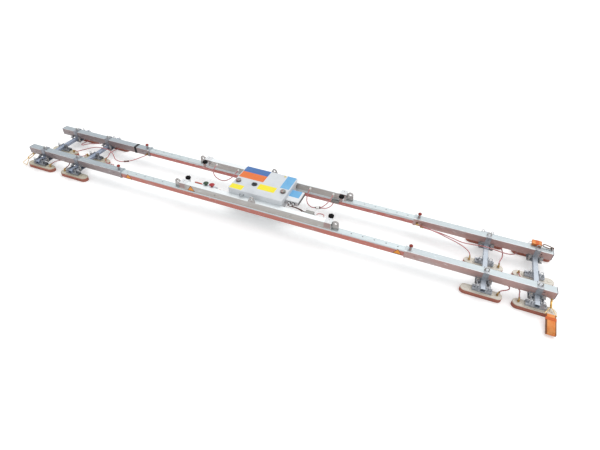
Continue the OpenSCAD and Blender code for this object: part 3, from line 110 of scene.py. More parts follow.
class Finish:
    """A material and the patterns that it is made of, in object coordinates."""

    def __init__(self, name):
        self.material = bpy.data.materials.new(name)
        self.material.use_nodes = True
        self.tree = self.material.node_tree
        self.shader = self.tree.nodes["Principled BSDF"]
        self.place = self.add("ShaderNodeTexCoord", out="Object")

    def add(self, kind, settings=None, inputs=None, out=0):
        node = self.tree.nodes.new(kind)
        for key, value in (settings or {}).items():
            setattr(node, key, value)
        for key, value in (inputs or {}).items():
            self.feed(node.inputs[key], value)
        return Socket(self, node.outputs[out])

    def feed(self, socket, value):
        if isinstance(value, Socket):
            self.tree.links.new(value.socket, socket)
        elif socket.type == "RGBA" and len(value) == 3:
            socket.default_value = (*value, 1)
        else:
            socket.default_value = value

    def axes(self, vector=None):
        vector = vector or self.place
        split = self.add("ShaderNodeSeparateXYZ", inputs={0: vector}).socket.node
        return [Socket(self, o) for o in split.outputs]

    def facing(self):
        return self.axes(self.add("ShaderNodeTexCoord", out="Normal"))

    def noise(self, scale, stretch=(1, 1, 1), detail=4.0, rough=0.55):
        place = self.add("ShaderNodeVectorMath", {"operation": "MULTIPLY"},
                         {0: self.place, 1: stretch})
        return self.add("ShaderNodeTexNoise", inputs={
            "Vector": place, "Scale": scale, "Detail": detail, "Roughness": rough})

    def mix(self, a, b, share):
        return self.add("ShaderNodeMix", {"data_type": "RGBA"},
                        {"Factor": share, 6: a, 7: b}, out=2)

    def coat(self, **sockets):
        for key, value in sockets.items():
            self.feed(self.shader.inputs[key.replace("_", " ")], value)

    def bump(self, height, strength, depth):
        self.coat(Normal=self.add("ShaderNodeBump", inputs={
            "Height": height, "Strength": strength, "Distance": depth}))

    def dress(self, *names):
        for name in names:
            piece = nodes[name] if name in nodes else bpy.data.objects[name]
            piece.data.materials.clear()
            piece.data.materials.append(self.material)


def paint(red, green, blue):
    """A colour as a screen shows it, 0 to 255, turned into the renderer's values."""
    return tuple(
        c / 12.92 if c <= 0.04045 else ((c + 0.055) / 1.055) ** 2.4
        for c in (red / 255, green / 255, blue / 255)
    )


hose_diameter = 0.009
hose_finish = Finish("hose")
cloud = hose_finish.noise(14, detail=3)
scuffs = hose_finish.noise(190, detail=2)
hose_finish.coat(
    Base_Color=hose_finish.mix(
        paint(220, 146, 148), paint(192, 108, 110), cloud.between(0.3, 0.75)),
    Roughness=0.2 + 0.22 * scuffs.between(0.4, 0.8),
    Transmission_Weight=0.12, IOR=1.5, Coat_Weight=0.3)
hose_finish.bump(scuffs, 0.12, 0.0004)

# Places and sizes that the routes start from, in millimetres as in the solid model
bars_left, bars_right = [-1971, -2395], [2023, 2415]  # X of each cross bar, inner first
row_pitch = 330  # from one row of pads to the next
port_x, port_z = 118, 66  # from a cross bar to the elbow on its pad bridge
arm_height, arm_reach = 22, 22  # an elbow's rise, and its arm from there
fitting_reach = 26
sleeve_inner_y, sleeve_under, sleeve_mid_z = 192, 102, 137
beam_y = 227
tube_wall_y, tube_mid_z = 196, 214  # inner walls of the upper tubes
lead = 12  # straight run in front of a fitting
to_left, to_right, to_near, to_far = (-1, 0, 0), (1, 0, 0), (0, -1, 0), (0, 1, 0)
down = (0, 0, -1)


def in_front(place, way, reach, straight):
    """The mouth of a fitting that points one way, and a point straight in front of it."""
    return [tuple(p + (reach + on) * w for p, w in zip(place, way)) for on in (0, straight)]


def fitting(place, way, straight=lead):
    return in_front(place, way, fitting_reach, straight)


def elbow(place, way, turn, straight=lead):
    """The same for an elbow, which rises from its place and then turns."""
    return in_front(in_front(place, way, arm_height, 0)[0], turn, arm_reach, straight)


def port(bar, row, end, angle, straight=lead):
    """The same for the elbow at one end of a pad bridge, turned by an angle."""
    turn = math.radians(angle)
    return in_front((bar + end * port_x, row * row_pitch, port_z),
                    (math.cos(turn), math.sin(turn), 0), arm_reach, straight)


def tube_fitting(x, side):
    """The same for a fitting in the inner wall of an upper tube."""
    return fitting((x, side * tube_wall_y, tube_mid_z), (0, -side, 0))


def hose(name, start, middle, end, body, replaced,
         from_x=0, finish=hose_finish, diameter=hose_diameter):
    """A tube from one fitting to another, by way of points measured from from_x."""
    route = start + [(x + from_x, y, z) for x, y, z in middle] + end[::-1]
    curve = bpy.data.curves.new(name, "CURVE")
    curve.dimensions = "3D"
    curve.bevel_depth = diameter / 2
    curve.bevel_resolution = 3
    curve.resolution_u = 6
    curve.use_fill_caps = True
    spline = curve.splines.new("BEZIER")
    spline.bezier_points.add(len(route) - 1)
    for knot, point in zip(spline.bezier_points, route):
        knot.co = Vector(point) / 1000
        knot.handle_left_type = knot.handle_right_type = "AUTO"
    piece = bpy.data.objects.new(name, curve)
    bpy.context.scene.collection.objects.link(piece)
    curve.materials.append(finish.material)
    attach(piece, body)
    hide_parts(replaced)


branch, branch_turn, branch_length = Vector((508, 8, 150)), math.radians(23), 52
outlet_y = 8


def on_branch(x, y):
    return tuple(branch + Matrix.Rotation(branch_turn, 3, "Z") @ Vector((x, y, 0)))


inlet = [on_branch(0, 0), on_branch(-lead, 0)]
far_outlet = [on_branch(branch_length, outlet_y), on_branch(branch_length + lead, outlet_y)]
near_outlet = [on_branch(branch_length, -outlet_y), on_branch(branch_length + lead, -outlet_y)]
check_valve = in_front((640, 150, 145), to_near, 0, lead)

for name, start, middle, end, length in (
        ("centre_hose_left", tube_fitting(-598, 1), [
            (-600, 120, 195), (-575, 82, 168), (-520, 58, 150), (-450, 55, 148),
            (-400, 90, 166), (-370, 130, 196)], tube_fitting(-360, 1), 0.41),
        ("centre_hose_near", tube_fitting(584, -1), [
            (588, -138, 208), (602, -122, 202), (628, -122, 202), (642, -138, 208)],
         tube_fitting(646, -1), 0.14),
        ("centre_hose_right", tube_fitting(396, 1), [
            (395, 122, 194), (401, 88, 170), (418, 52, 154), (446, 24, 148), (476, 8, 147)],
         inlet, 0.25),
        ("centre_hose_rear", far_outlet, [
            (584, 60, 162), (606, 92, 182), (620, 130, 204)], tube_fitting(624, 1), 0.18),
        ("centre_hose_valve", near_outlet, [
            (598, 44, 144), (622, 76, 141), (636, 108, 142)], check_valve, 0.16)):
    hose(name, start, middle, end, "centre_frame", "centre_hoses")

# Two rubber leads run from the charger's sockets to the glands of the junction box. They
# are moulded black rubber, 8 mm across, gone brown with dust.
lead_finish = Finish("lead_rubber")
dusty = lead_finish.noise(40, detail=4)
lead_finish.coat(
    Base_Color=lead_finish.mix(paint(88, 58, 52), paint(126, 92, 84), dusty.between(0.45, 0.75)),
    Roughness=0.5 + 0.2 * dusty)
lead_diameter = 0.008
socket_y, gland_x, socket_z = -119.5, 474, 214
for name, socket_x, middle, gland_y, length in (
        ("charger_lead_right", 339.5, [
            (352, -146, 222), (377, -157, 229), (410, -163, 230), (442, -165, 224)], -165, 0.16),
        ("charger_lead_left", 299.5, [
            (308, -150, 222), (334, -168, 234), (375, -178, 242), (415, -183, 240),
            (446, -183, 228)], -181, 0.22)):
    hose(name, in_front((socket_x, socket_y, socket_z), to_near, 0, lead), middle,
         in_front((gland_x, gland_y, socket_z), to_left, 0, lead),
         "centre_frame", "centre_hoses", finish=lead_finish, diameter=lead_diameter)

# Hoses of the left end frame. The supply runs from the far sleeve to the outer middle
# pad; the others join the pads to each other and to the near sleeve.
inner, outer = bars_left
front = (outer + 944, sleeve_inner_y, sleeve_mid_z - 15)
backs = [(outer + x, -sleeve_inner_y, sleeve_mid_z) for x in (305, 795)]
under = (outer + 245, -beam_y, sleeve_under)
for name, start, middle, end, length in (
        ("hose_left_supply", fitting(front, to_near), [
            (915, 125, 113), (880, 80, 104), (830, 25, 99), (765, -14, 98), (700, -12, 101),
            (645, 25, 106), (585, 72, 110), (520, 100, 113), (455, 107, 114), (390, 104, 112),
            (325, 92, 103), (265, 66, 88), (210, 30, 74)],
         port(outer, 0, 1, 0, 2 * lead), 0.96),
        ("hose_left_middle_to_far", port(inner, 0, 1, 90), [
            (530, 70, 70), (512, 110, 69), (510, 160, 67), (524, 220, 66)],
         port(inner, 1, 1, -90), 0.30),
        ("hose_left_middle_to_sleeve", port(inner, 0, 1, -45), [
            (610, -60, 74), (680, -95, 92), (745, -122, 118), (785, -140, 135)],
         fitting(backs[1], to_far, lead / 2), 0.30),
        ("hose_left_far", port(outer, 1, 1, -90), [
            (112, 250, 62), (96, 200, 57), (86, 160, 54), (98, 141, 54), (132, 160, 58),
            (176, 192, 63), (232, 214, 66), (276, 236, 66)],
         port(inner, 1, -1, -90, 2 * lead), 0.46),
        ("hose_left_near_outer", port(outer, -1, 1, 90), [
            (122, -272, 70), (140, -248, 74), (168, -233, 79)],
         elbow(under, down, to_left), 0.15),
        ("hose_left_near_inner", port(inner, -1, -1, 90), [
            (303, -270, 70), (295, -245, 75)], elbow(under, down, to_right), 0.10),
        ("hose_left_middle_rear", port(inner, 0, -1, -90), [
            (305, -70, 76), (304, -110, 96), (304, -138, 120)],
         fitting(backs[0], to_far, lead / 2), 0.16)):
    hose(name, start, middle, end, "left_end_frame", "hoses_left", outer)

# Hoses of the right end frame. Two supplies leave elbows on the far sleeve, one for the
# inner middle pad and one for the outer far pad; the rest are as on the left.
inner, outer = bars_right
supplies = [(outer + x, sleeve_inner_y, sleeve_mid_z + z) for x, z in ((-1000, -5), (-960, -21))]
unders = [(outer + x, -beam_y, sleeve_under) for x in (-246, -164)]
back = (outer - 112, -sleeve_inner_y, sleeve_mid_z)
for name, start, middle, end, length in (
        ("hose_right_supply_middle", elbow(supplies[0], to_near, to_right), [
            (-855, 148, 128), (-770, 136, 118), (-690, 122, 106), (-620, 108, 96),
            (-565, 90, 84), (-525, 66, 72)], port(inner, 0, -1, 90), 0.52),
        ("hose_right_supply_far", elbow(supplies[1], to_near, to_right), [
            (-800, 162, 114), (-695, 144, 111), (-590, 122, 107), (-510, 121, 112),
            (-420, 131, 116), (-345, 133, 112), (-285, 142, 98), (-225, 158, 82),
            (-165, 190, 69), (-126, 240, 66)], port(outer, 1, -1, -90), 0.93),
        ("hose_right_far_to_middle", port(inner, 1, 1, -90), [
            (-267, 250, 66), (-254, 200, 67), (-250, 150, 69), (-256, 100, 69),
            (-268, 62, 67)], port(inner, 0, 1, 90), 0.29),
        ("hose_right_near_inner", port(inner, -1, 1, 60), [
            (-240, -287, 68), (-212, -274, 72), (-194, -254, 77), (-200, -234, 80)],
         elbow(unders[0], down, to_right, lead / 2), 0.14),
        ("hose_right_near_outer", port(outer, -1, -1, 90), [
            (-118, -272, 70), (-118, -246, 76)],
         elbow(unders[1], down, to_right, lead / 2), 0.10),
        ("hose_right_middle_rear", port(outer, 0, -1, -90), [
            (-116, -70, 76), (-114, -110, 96), (-112, -138, 120)],
         fitting(back, to_far, lead / 2), 0.16)):
    hose(name, start, middle, end, "right_end_frame", "hoses_right", outer)


# Safety straps: polyester webbing, 70 mm wide, folded up and held by a keeper band.
# The near one goes round the base of its ring; the far one is stowed on its sleeve.
layer, layer_pitch, layers = 2.3, 3.3, 6
woven_share = 0.92  # of a layer's height, so that the folds don't touch
web_finish = Finish("webbing")
across, along = web_finish.axes(web_finish.add("ShaderNodeUVMap", {"uv_map": "along"}))[:2]
rib_rate, pick_rate = 3100, 2300  # radians of the weave in a metre
ribs = web_finish.add("ShaderNodeMath", {"operation": "SINE"}, {0: across * rib_rate})
picks = web_finish.add("ShaderNodeMath", {"operation": "SINE"}, {0: along * pick_rate})
worn = web_finish.noise(30, detail=5)
hem_from, hem_to = 0.0265, 0.0290
hem = abs(across).between(hem_from, hem_to)
web_colour = web_finish.mix(paint(255, 172, 100), paint(248, 142, 70), worn.between(0.35, 0.7))
web_finish.coat(
    Base_Color=web_finish.mix(web_colour, paint(128, 84, 56), hem * 0.85),
    Roughness=0.72 + 0.16 * worn, Sheen_Weight=0.25, Sheen_Roughness=0.4)
web_finish.bump(ribs * 0.5 + picks * 0.4, 0.35, 0.0006)


def folds(y, count, low, high):
    """Centre line of webbing laid in folds, first downwards, as in the solid model."""
    line, r, bend_steps = [], layer_pitch / 2, 6
    for k in range(count):
        at, down_here = y + k * layer_pitch, k % 2 == 0
        if k == count - 1:
            line.append((at, low if down_here else high))
            break
        for step in range(bend_steps + 1):
            a = math.pi * step / bend_steps
            z = low + r - r * math.sin(a) if down_here else high - r + r * math.sin(a)
            line.append((at + r - r * math.cos(a), z))
    return line


def made(name, form, place=Matrix()):
    """Turns a bmesh in millimetres into an object, with its place in its mesh."""
    bmesh.ops.recalc_face_normals(form, faces=form.faces)
    form.transform(place @ Matrix.Scale(0.001, 4))
    mesh = bpy.data.meshes.new(name)
    form.to_mesh(mesh)
    form.free()
    piece = bpy.data.objects.new(name, mesh)
    bpy.context.scene.collection.objects.link(piece)
    return piece


def webbing(name, line, width, place, body, replaced):
    """A ribbon along a folded line in the YZ plane, placed by a matrix."""
    form = bmesh.new()
    uv = form.loops.layers.uv.new("along")
    first = [form.verts.new((-width / 2, y, z)) for y, z in line]
    edges = [form.edges.new(pair) for pair in zip(first, first[1:])]
    run, travelled = {first[0]: 0.0}, 0.0
    for a, b in zip(first, first[1:]):
        travelled += (b.co - a.co).length
        run[b] = travelled
    strips, last = 8, first
    for _ in range(strips):
        grown = bmesh.ops.extrude_edge_only(form, edges=edges)["geom"]
        new = [v for v in grown if isinstance(v, bmesh.types.BMVert)]
        for v in new:
            v.co.x += width / strips
        for v in new:
            twin = min(last, key=lambda o: (o.co - v.co).length)
            run[v] = run[twin]
        edges = [e for e in grown if isinstance(e, bmesh.types.BMEdge)
                 and e.verts[0] in new and e.verts[1] in new]
        last = new
    for face in form.faces:
        for loop in face.loops:
            loop[uv].uv = (loop.vert.co.x / 1000, run[loop.vert] / 1000)
    piece = made(name, form, place)
    piece.data.shade_smooth()
    cloth = piece.modifiers.new("cloth", "SOLIDIFY")
    cloth.thickness, cloth.offset = layer / 1000 * woven_share, 0
    web_finish.dress(name)
    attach(piece, body)
    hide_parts(replaced)
    return piece


def turned(x, y, z, tilt, yaw=0.0):
    """A place in millimetres with a turn about X, and then one about Z."""
    return (Matrix.Translation(Vector((x, y, z)) / 1000)
            @ Matrix.Rotation(math.radians(yaw), 4, "Z")
            @ Matrix.Rotation(math.radians(tilt), 4, "X"))


strap_width = 70
hook_tilt, ring_turn, strap_turn = -70, -12, 2
ring_at, ring_height = 70.7, 74  # down from the hook's peg, and from there to the base bar
hook_peg = (2523, -244, 87)
hook_frame = turned(*hook_peg, hook_tilt)
ring_frame = hook_frame @ turned(0, 0, -ring_at, ring_turn)
strap_frame = ring_frame @ turned(0, 0, -ring_height, strap_turn)
ring_rod, ring_gap = 3, 0.3  # the base bar's radius, and the air round it
loop_radius = 1.5 * layer_pitch
loop_z = ring_rod + ring_gap + layer / 2 - loop_radius
neck, strap_drop = 14, 168
strap_low, strap_high = -(ring_rod + ring_gap) - strap_drop + layer / 2, -24
half = [(loop_radius * math.cos(math.radians(a)), loop_z + loop_radius * math.sin(math.radians(a)))
        for a in (90, 67.5, 45, 22.5, 0)]
half += [(layer_pitch / 2, loop_z - neck)]
half += folds(layer_pitch / 2, layers // 2, strap_low, strap_high)
near_line = [(-y, z) for y, z in reversed(half[1:])] + half
near_strap = webbing("strap_near_webbing", near_line, strap_width, strap_frame,
                     "strap_set_right", "strap_near")

far_width, far_height = 56, 74
far_first = -(layers - 1) / 2 * layer_pitch
far_line = [(far_first, far_height)] + folds(far_first, layers, 0, far_height)
sleeve_end, far_from_end, far_stow_y, far_stow_z = 2519, 157, 267, 187
far_frame = turned(sleeve_end - far_from_end, far_stow_y, far_stow_z, 90, yaw=90)
far_strap = webbing("strap_far_webbing", far_line, far_width, far_frame,
                    "right_end_frame", "strap_far")

keeper_finish = Finish("keeper")
knit = keeper_finish.noise(420, detail=2)
keeper_finish.coat(
    Base_Color=keeper_finish.mix(paint(240, 120, 54), paint(206, 96, 40), knit.between(0.3, 0.7)),
    Roughness=0.85, Sheen_Weight=0.3)
keeper_finish.bump(knit, 0.4, 0.0006)
pack_depth = (layers - 1) * layer_pitch + layer


def keeper(name, width, low, place, body, deep=pack_depth, finish=keeper_finish):
    """A band round a folded strap or a tube: a bevelled ring of webbing."""
    thick, wide, slack, corner = 1.6, 26, 0.6, 3
    form = bmesh.new()
    bmesh.ops.create_grid(form, x_segments=1, y_segments=1, size=0.5)
    for v in form.verts:
        v.co.x *= width + slack
        v.co.y *= deep + slack
        v.co.z = low
    rim = [e for e in form.edges if e.is_boundary]
    grown = bmesh.ops.extrude_edge_only(form, edges=rim)["geom"]
    bmesh.ops.translate(form, vec=(0, 0, wide), verts=[
        g for g in grown if isinstance(g, bmesh.types.BMVert)])
    bmesh.ops.delete(form, geom=[f for f in form.faces if abs(f.normal.z) > 0.5], context="FACES")
    upright = [e for e in form.edges if abs(e.verts[0].co.z - e.verts[1].co.z) > 1]
    bmesh.ops.bevel(form, geom=upright, offset=corner, segments=4, profile=0.5,
                    affect="EDGES", material=-1)
    piece = made(name, form, place)
    wall = piece.modifiers.new("wall", "SOLIDIFY")
    wall.thickness, wall.offset = thick / 1000, 1
    finish.dress(name)
    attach(piece, body)
    return piece


keeper_below, far_keeper_at = 29, 26
near_keeper = keeper("strap_near_keeper", strap_width, strap_high - keeper_below, strap_frame,
                     "strap_set_right")
far_keeper = keeper("strap_far_keeper", far_width, far_keeper_at, far_frame, "right_end_frame")


# Main beams: extruded aluminium square tube as it comes from the mill, with a row of
# drilled holes. Their upright faces carry a painted red-brown reflection of the floor,
# with a painted highlight along their top edge.
def extruded(name, top, side, side_share=1.0, line=(2, 260, 260), reflection_top=1.0,
             shade_below=0.0, rim=None, metal=0.4):
    """Aluminium with die lines, clouds and marks. Its upright faces take the side colour, a
    painted reflection of a red-brown floor and painted shade, up to a given height, above
    which they keep the top's colour as a painted highlight; below another height they take
    a painted shade, where a tube sits on another, and a rim (from |y|, z) carries a painted
    highlight."""
    finish = Finish(name)
    die = finish.noise(1, stretch=line, detail=6, rough=0.7)
    cloud = finish.noise(5, stretch=(0.6, 3, 3), detail=4)
    marks = finish.noise(60, stretch=(0.3, 2, 2), detail=3, rough=0.4).between(0.62, 0.7)
    upright = abs(finish.facing()[1]).between(0.5, 0.9)
    _, y, z = finish.axes()
    # Upright faces take the side colour: a painted reflection of a red-brown floor, and painted
    # shade.
    reflection_and_shade = upright * side_share * (0.8 + 0.35 * cloud)
    # Above a given height the upright faces keep the top's colour, as a painted highlight along
    # the top edge.
    if reflection_top < 1:
        reflection_and_shade = reflection_and_shade * (1 - z.between(reflection_top - 0.002, reflection_top + 0.002))
    tone = finish.mix(top, side, reflection_and_shade)
    # A painted shade darkens upright faces below a given height, where a tube sits on another.
    if shade_below:
        tone = finish.mix(tone, paint(116, 100, 96), upright * (z < shade_below))
    # A painted highlight along the rim, the top's outer edge.
    if rim:
        tone = finish.mix(tone, paint(252, 254, 255), (
            abs(abs(y) - beam_y / 1000) > rim[0]) * (z > rim[1]) * 0.8)
    dull = tuple(c * 0.84 for c in top)
    colour = finish.mix(tone, finish.mix(tone, dull, 0.6), cloud.between(0.45, 0.75) * 0.6)
    finish.coat(
        Base_Color=finish.mix(colour, paint(235, 238, 240), marks * 0.4),
        Metallic=metal, Roughness=0.34 + 0.16 * cloud + 0.12 * marks)
    finish.bump(die * 0.6 + marks * 0.4, 0.10, 0.0006)
    return finish


# The beams' rim, the top's outer edge, carries a painted highlight.
beam_edge_highlight = (0.0285, 0.165)
extruded("near_beam_metal", paint(207, 217, 219), paint(196, 116, 102),
         reflection_top=0.156, rim=beam_edge_highlight).dress("beam_near")
extruded("far_beam_metal", paint(207, 217, 219), paint(190, 108, 98),
         reflection_top=0.146, rim=beam_edge_highlight).dress("beam_far")

# Sleeves: larger square tube with a welded collar and pin boss, sliding on the beams.
# Those of the left end frame are duller and greyer.
# The sleeves' upright faces carry the same painted red-brown reflection, and their rim a painted
# highlight.
extruded("sleeve_metal", paint(190, 199, 202), paint(186, 142, 134), 0.85,
         rim=(0.0318, 0.1685)).dress("sleeves_right")
extruded("left_sleeve_metal", paint(172, 182, 188), paint(156, 134, 132), 0.85,
         rim=(0.0335, 0.1685)).dress("sleeves_left")

# Upper tubes and cross members: the same aluminium. The upper tubes lie on the beams
# under the vacuum unit, and two flanged tubes tie the beams together below its tub.
# The upper tubes' sides take a darker colour as painted shade, with a deeper painted shade at
# their foot, where they sit on the beams.
extruded("upper_tube_metal", paint(240, 244, 245), paint(178, 173, 168),
         shade_below=0.1715, metal=0.6).dress("upper_tubes")
across_beams = (260, 2, 260)
extruded("cross_member_metal", paint(196, 202, 208), paint(180, 184, 190),
         line=across_beams).dress("cross_members")

# Cross bars: rectangular tube across each end frame, which carries the pads. Those of
# the left end frame are the duller ones here too.
# The cross bars' upright faces take their darker colour as painted shade.
extruded("cross_bar_metal", paint(182, 190, 200), paint(128, 132, 138),
         line=across_beams).dress("cross_bars_right")
extruded("left_bar_metal", paint(152, 164, 184), paint(98, 96, 104),
         line=across_beams).dress("cross_bars_left")


# Vacuum unit: a powder-coated sheet tub under a moulded lid. The tub hangs by its flange
# between the upper tubes, and the lid turns on two hinges at its far side.
def coated(name, colour, shadow, rough=0.42, grain=900, coat=0.15, parts=()):
    """Powder coat or moulded plastic: fine orange peel, faint grime and rubbed spots.
    parts gives other colours: pairs of a mask made from the finish, and a colour."""
    finish = Finish(name)
    peel = finish.noise(grain, detail=2)
    grime = finish.noise(7, detail=6, rough=0.65)
    rubbed = finish.noise(46, detail=3).between(0.66, 0.74)
    base = finish.mix(colour, shadow, grime.between(0.42, 0.8) * 0.6)
    base = finish.mix(base, shadow, rubbed * 0.35)
    for mask, other in parts:
        base = finish.mix(base, other, mask(finish))
    finish.coat(
        Base_Color=base,
        Roughness=rough + 0.12 * grime + 0.1 * rubbed, Coat_Weight=coat)
    finish.bump(peel, 0.12, 0.0003)
    return finish


lid_handle_y = -0.2035  # the lid's grey handle stands out beyond this
coated("tub_coat", paint(212, 217, 221), paint(178, 182, 186)).dress("case_tub")
coated("lid_shell", paint(224, 228, 232), paint(194, 199, 204), rough=0.34, grain=600, parts=[
    (lambda finish: finish.axes()[1] < lid_handle_y, paint(160, 162, 166))]).dress("lid")
coated("battery_case", paint(52, 55, 60), paint(34, 36, 40)).dress("battery")
coated("pump_casting", paint(150, 154, 160), paint(112, 116, 122)).dress("vacuum_pumps")
coated("board_lacquer", paint(40, 104, 70), paint(26, 74, 50), coat=0.5).dress("control_board")
coated("switch_plastic", paint(56, 58, 62), paint(38, 40, 44)).dress("main_switch")

# End brackets: white powder-coated clamps over the ends of the upper tubes, drawn
# together by the star knobs. Their upright sides are pinkish brown: painted shade, with the
# warm tint of the beams' painted reflection.
upright_share = 0.7
coated("bracket_coat", paint(238, 240, 242), paint(206, 208, 212), parts=[
    (lambda finish: abs(finish.facing()[1]) > upright_share, paint(178, 152, 148))]).dress(
    "end_brackets")

# Charger unit and junction box: moulded cases. The charger's is black along its right
# end, and has black collars on the two sockets of its near side.
strip_x = 0.3821
collar_back, collar_front = -0.0957, -0.1057
coated("unit_case", paint(238, 240, 242), paint(208, 212, 216), rough=0.3, parts=[
    (lambda finish: finish.axes()[0] > strip_x, paint(34, 32, 34)),
    (lambda finish: (finish.axes()[1] < collar_back) * (finish.axes()[1] > collar_front),
     paint(30, 28, 30))]).dress("side_unit")
coated("junction_case", paint(168, 167, 163), paint(138, 137, 134)).dress("junction_box")

# Push-in fittings and end caps: moulded plastic. White fittings sit in the upper tubes, a
# dark-ended branch piece and a grey check valve hang below them, and dark plugs close
# the outer ends of the sleeves.
hanging_z, valve_side_y, branch_body = 0.17, 0.1, 0.0141


def on_branch_ends(finish):
    x, y, z = finish.axes()
    from_middle = ((x - branch.x / 1000) * math.cos(branch_turn)
                   + (y - branch.y / 1000) * math.sin(branch_turn) - branch_length / 2000)
    return (abs(from_middle) > branch_body) * (z < hanging_z) * (y < valve_side_y)


def on_check_valve(finish):
    return (finish.axes()[2] < hanging_z) * (finish.axes()[1] > valve_side_y)


coated("fitting_plastic", paint(244, 243, 240), paint(220, 218, 214), rough=0.3, parts=[
    (on_branch_ends, paint(92, 62, 56)), (on_check_valve, paint(150, 148, 144))]).dress(
    "tube_fittings")
coated("cap_plastic", paint(66, 48, 66), paint(44, 32, 46)).dress(
    "end_caps_left", "end_caps_right")


# Lifting lugs and hinge pins: zinc-plated steel. The lugs are round-headed plates with a
# sling hole, and the pins run through the knuckles of the lid's two hinges.
def plated(name, colour, shade, rough=0.3, metal=0.85, painted=()):
    """Zinc or brass plating: spangled tone, dull patches and fine tool marks.
    painted gives plastic-covered parts: pairs of a mask and a colour."""
    finish = Finish(name)
    spangle = finish.noise(30, detail=5, rough=0.6)
    fine = finish.noise(700, stretch=(1, 1, 0.15), detail=3)
    colour = finish.mix(colour, shade, spangle.between(0.35, 0.75))
    for mask, other in painted:
        covered = mask(finish)
        colour, metal = finish.mix(colour, other, covered), metal * (1 - covered)
    finish.coat(Base_Color=colour, Metallic=metal,
                Roughness=rough + 0.22 * spangle.between(0.4, 0.8))
    finish.bump(fine, 0.12, 0.0004)
    return finish


plated("lug_zinc", paint(186, 182, 180), paint(148, 144, 142), metal=0.5).dress("lifting_lugs")
plated("hinge_steel", paint(204, 206, 208), paint(168, 170, 172)).dress("hinge_pins")

# Crossing clamps and pad bridges: zinc-plated steel. The clamps draw each cross bar up
# against the sleeves with studs and nuts, and a bridge joins each pad to its bar. The
# elbows and fittings that the hoses are pushed into are brass.
plated("clamp_plate", paint(186, 189, 194), paint(140, 143, 148), metal=0.5).dress(
    "crossing_clamps_right")
plated("left_clamp_plate", paint(160, 164, 172), paint(112, 114, 122), metal=0.5).dress(
    "crossing_clamps_left")
plated("stud_zinc", paint(206, 205, 200), paint(142, 138, 132), metal=0.6).dress(
    "clamp_bolts_left", "clamp_bolts_right")
plated("bridge_zinc", paint(174, 178, 184), paint(126, 130, 136), metal=0.5).dress(
    "pad_bridges_right")
plated("left_bridge_zinc", paint(144, 148, 154), paint(98, 100, 106), metal=0.5).dress(
    "pad_bridges_left")
plated("fitting_brass", paint(198, 162, 104), paint(132, 104, 70)).dress(
    "hose_fittings_left", "hose_fittings_right")

# Suction pads: cast plates in off-white paint, each with a moulded seal of natural rubber
# under it. The plates of the left end frame are darker.
coated("plate_paint", paint(232, 226, 214), paint(196, 186, 170), grain=300).dress(
    "pad_plates_right")
coated("left_plate_paint", paint(214, 208, 190), paint(172, 162, 144), grain=300).dress(
    "pad_plates_left")
coated("seal_rubber", paint(188, 118, 100), paint(142, 82, 68), rough=0.6, coat=0.0).dress(
    "pad_seals_left", "pad_seals_right")

# Hooks, rings and link: snap hooks with a sprung gate in yellow plating, triangular rings
# of bent rod, and one brown coated link on the far right sleeve.
plated("hook_plating", paint(232, 184, 84), paint(172, 122, 48), rough=0.24, metal=0.7).dress(
    "hook_near_left", "hook_near_right", "hook_gate_left", "hook_gate_right")
plated("link_coating", paint(132, 88, 56), paint(92, 60, 40), metal=0.3).dress("hook_far_right")
plated("ring_zinc", paint(236, 208, 156), paint(190, 152, 100), metal=0.6).dress(
    "strap_ring_left", "strap_ring_right")


# Star knobs and locking pins: black or red plastic moulded on a steel shaft. The plastic
# begins at a height of its own on each.
def knob_finish(name, colour, shadow, plastic_z):
    finish = Finish(name)
    grain = finish.noise(800, detail=2)
    grime = finish.noise(20, detail=5)
    plastic = finish.axes()[2] > plastic_z
    finish.coat(
        Base_Color=finish.mix(paint(198, 198, 196), finish.mix(
            colour, shadow, grime.between(0.4, 0.8)), plastic),
        Metallic=0.85 - 0.85 * plastic, Roughness=0.7 + 0.15 * grime, Specular_IOR_Level=0.15)
    finish.bump(grain, 0.12, 0.0003)
    return finish


knob_finish("star_plastic", paint(20, 17, 18), paint(12, 10, 11), plastic_z=0.2261).dress(
    "star_knob_near_left", "star_knob_near_right", "star_knob_far_left", "star_knob_far_right")
knob_finish("pin_plastic", paint(164, 74, 66), paint(128, 54, 48), plastic_z=0.2012).dress(
    "lock_pin_near_left", "lock_pin_far_left", "lock_pin_near_right", "lock_pin_far_right")

# Gauges: pressed bezel over a white dial with a red and a green sector and a ring of
# ticks, a black needle, and a domed glass. Angles are in radians from the right.
lid_top = 285
gauge_x, gauge_y, dial_rise = 222, -65, 6
dial_edge = 0.0201
band_from, band_to = 0.006, 0.0165
tick_from, tick_to, tick_count, tick_cosine = 0.0155, 0.0195, 24, 0.93
green_from, green_to, red_above, red_below = -0.7, 1.4, 1.8, -1.6
dial_finish = Finish("gauge_dial")
dial_axes = dial_finish.axes()
dial_x = abs(dial_axes[0]) - gauge_x / 1000
side = dial_finish.add("ShaderNodeMath", {"operation": "SIGN"}, {0: dial_axes[0]})
dial_y = dial_axes[1] - gauge_y / 1000
dial_radius = dial_finish.add(
    "ShaderNodeMath", {"operation": "SQRT"}, {0: dial_x * dial_x + dial_y * dial_y})
turn = dial_finish.add("ShaderNodeMath", {"operation": "ARCTAN2"}, {0: dial_y, 1: dial_x * side})
tick_wave = dial_finish.add("ShaderNodeMath", {"operation": "COSINE"}, {0: turn * tick_count})
ticks = tick_wave > tick_cosine
in_band = (dial_radius > band_from) * (dial_radius < band_to)
green_band = in_band * (turn > green_from) * (turn < green_to)
red_band = in_band * ((turn > red_above) + (turn < red_below))
dial_mark = ticks * (dial_radius > tick_from) * (dial_radius < tick_to)
on_dial = (dial_radius < dial_edge) * (dial_axes[2] > (lid_top + dial_rise) / 1000)
dial_paper = dial_finish.mix(paint(190, 176, 166), paint(58, 112, 78), green_band)
dial_paper = dial_finish.mix(dial_paper, paint(168, 52, 46), red_band)
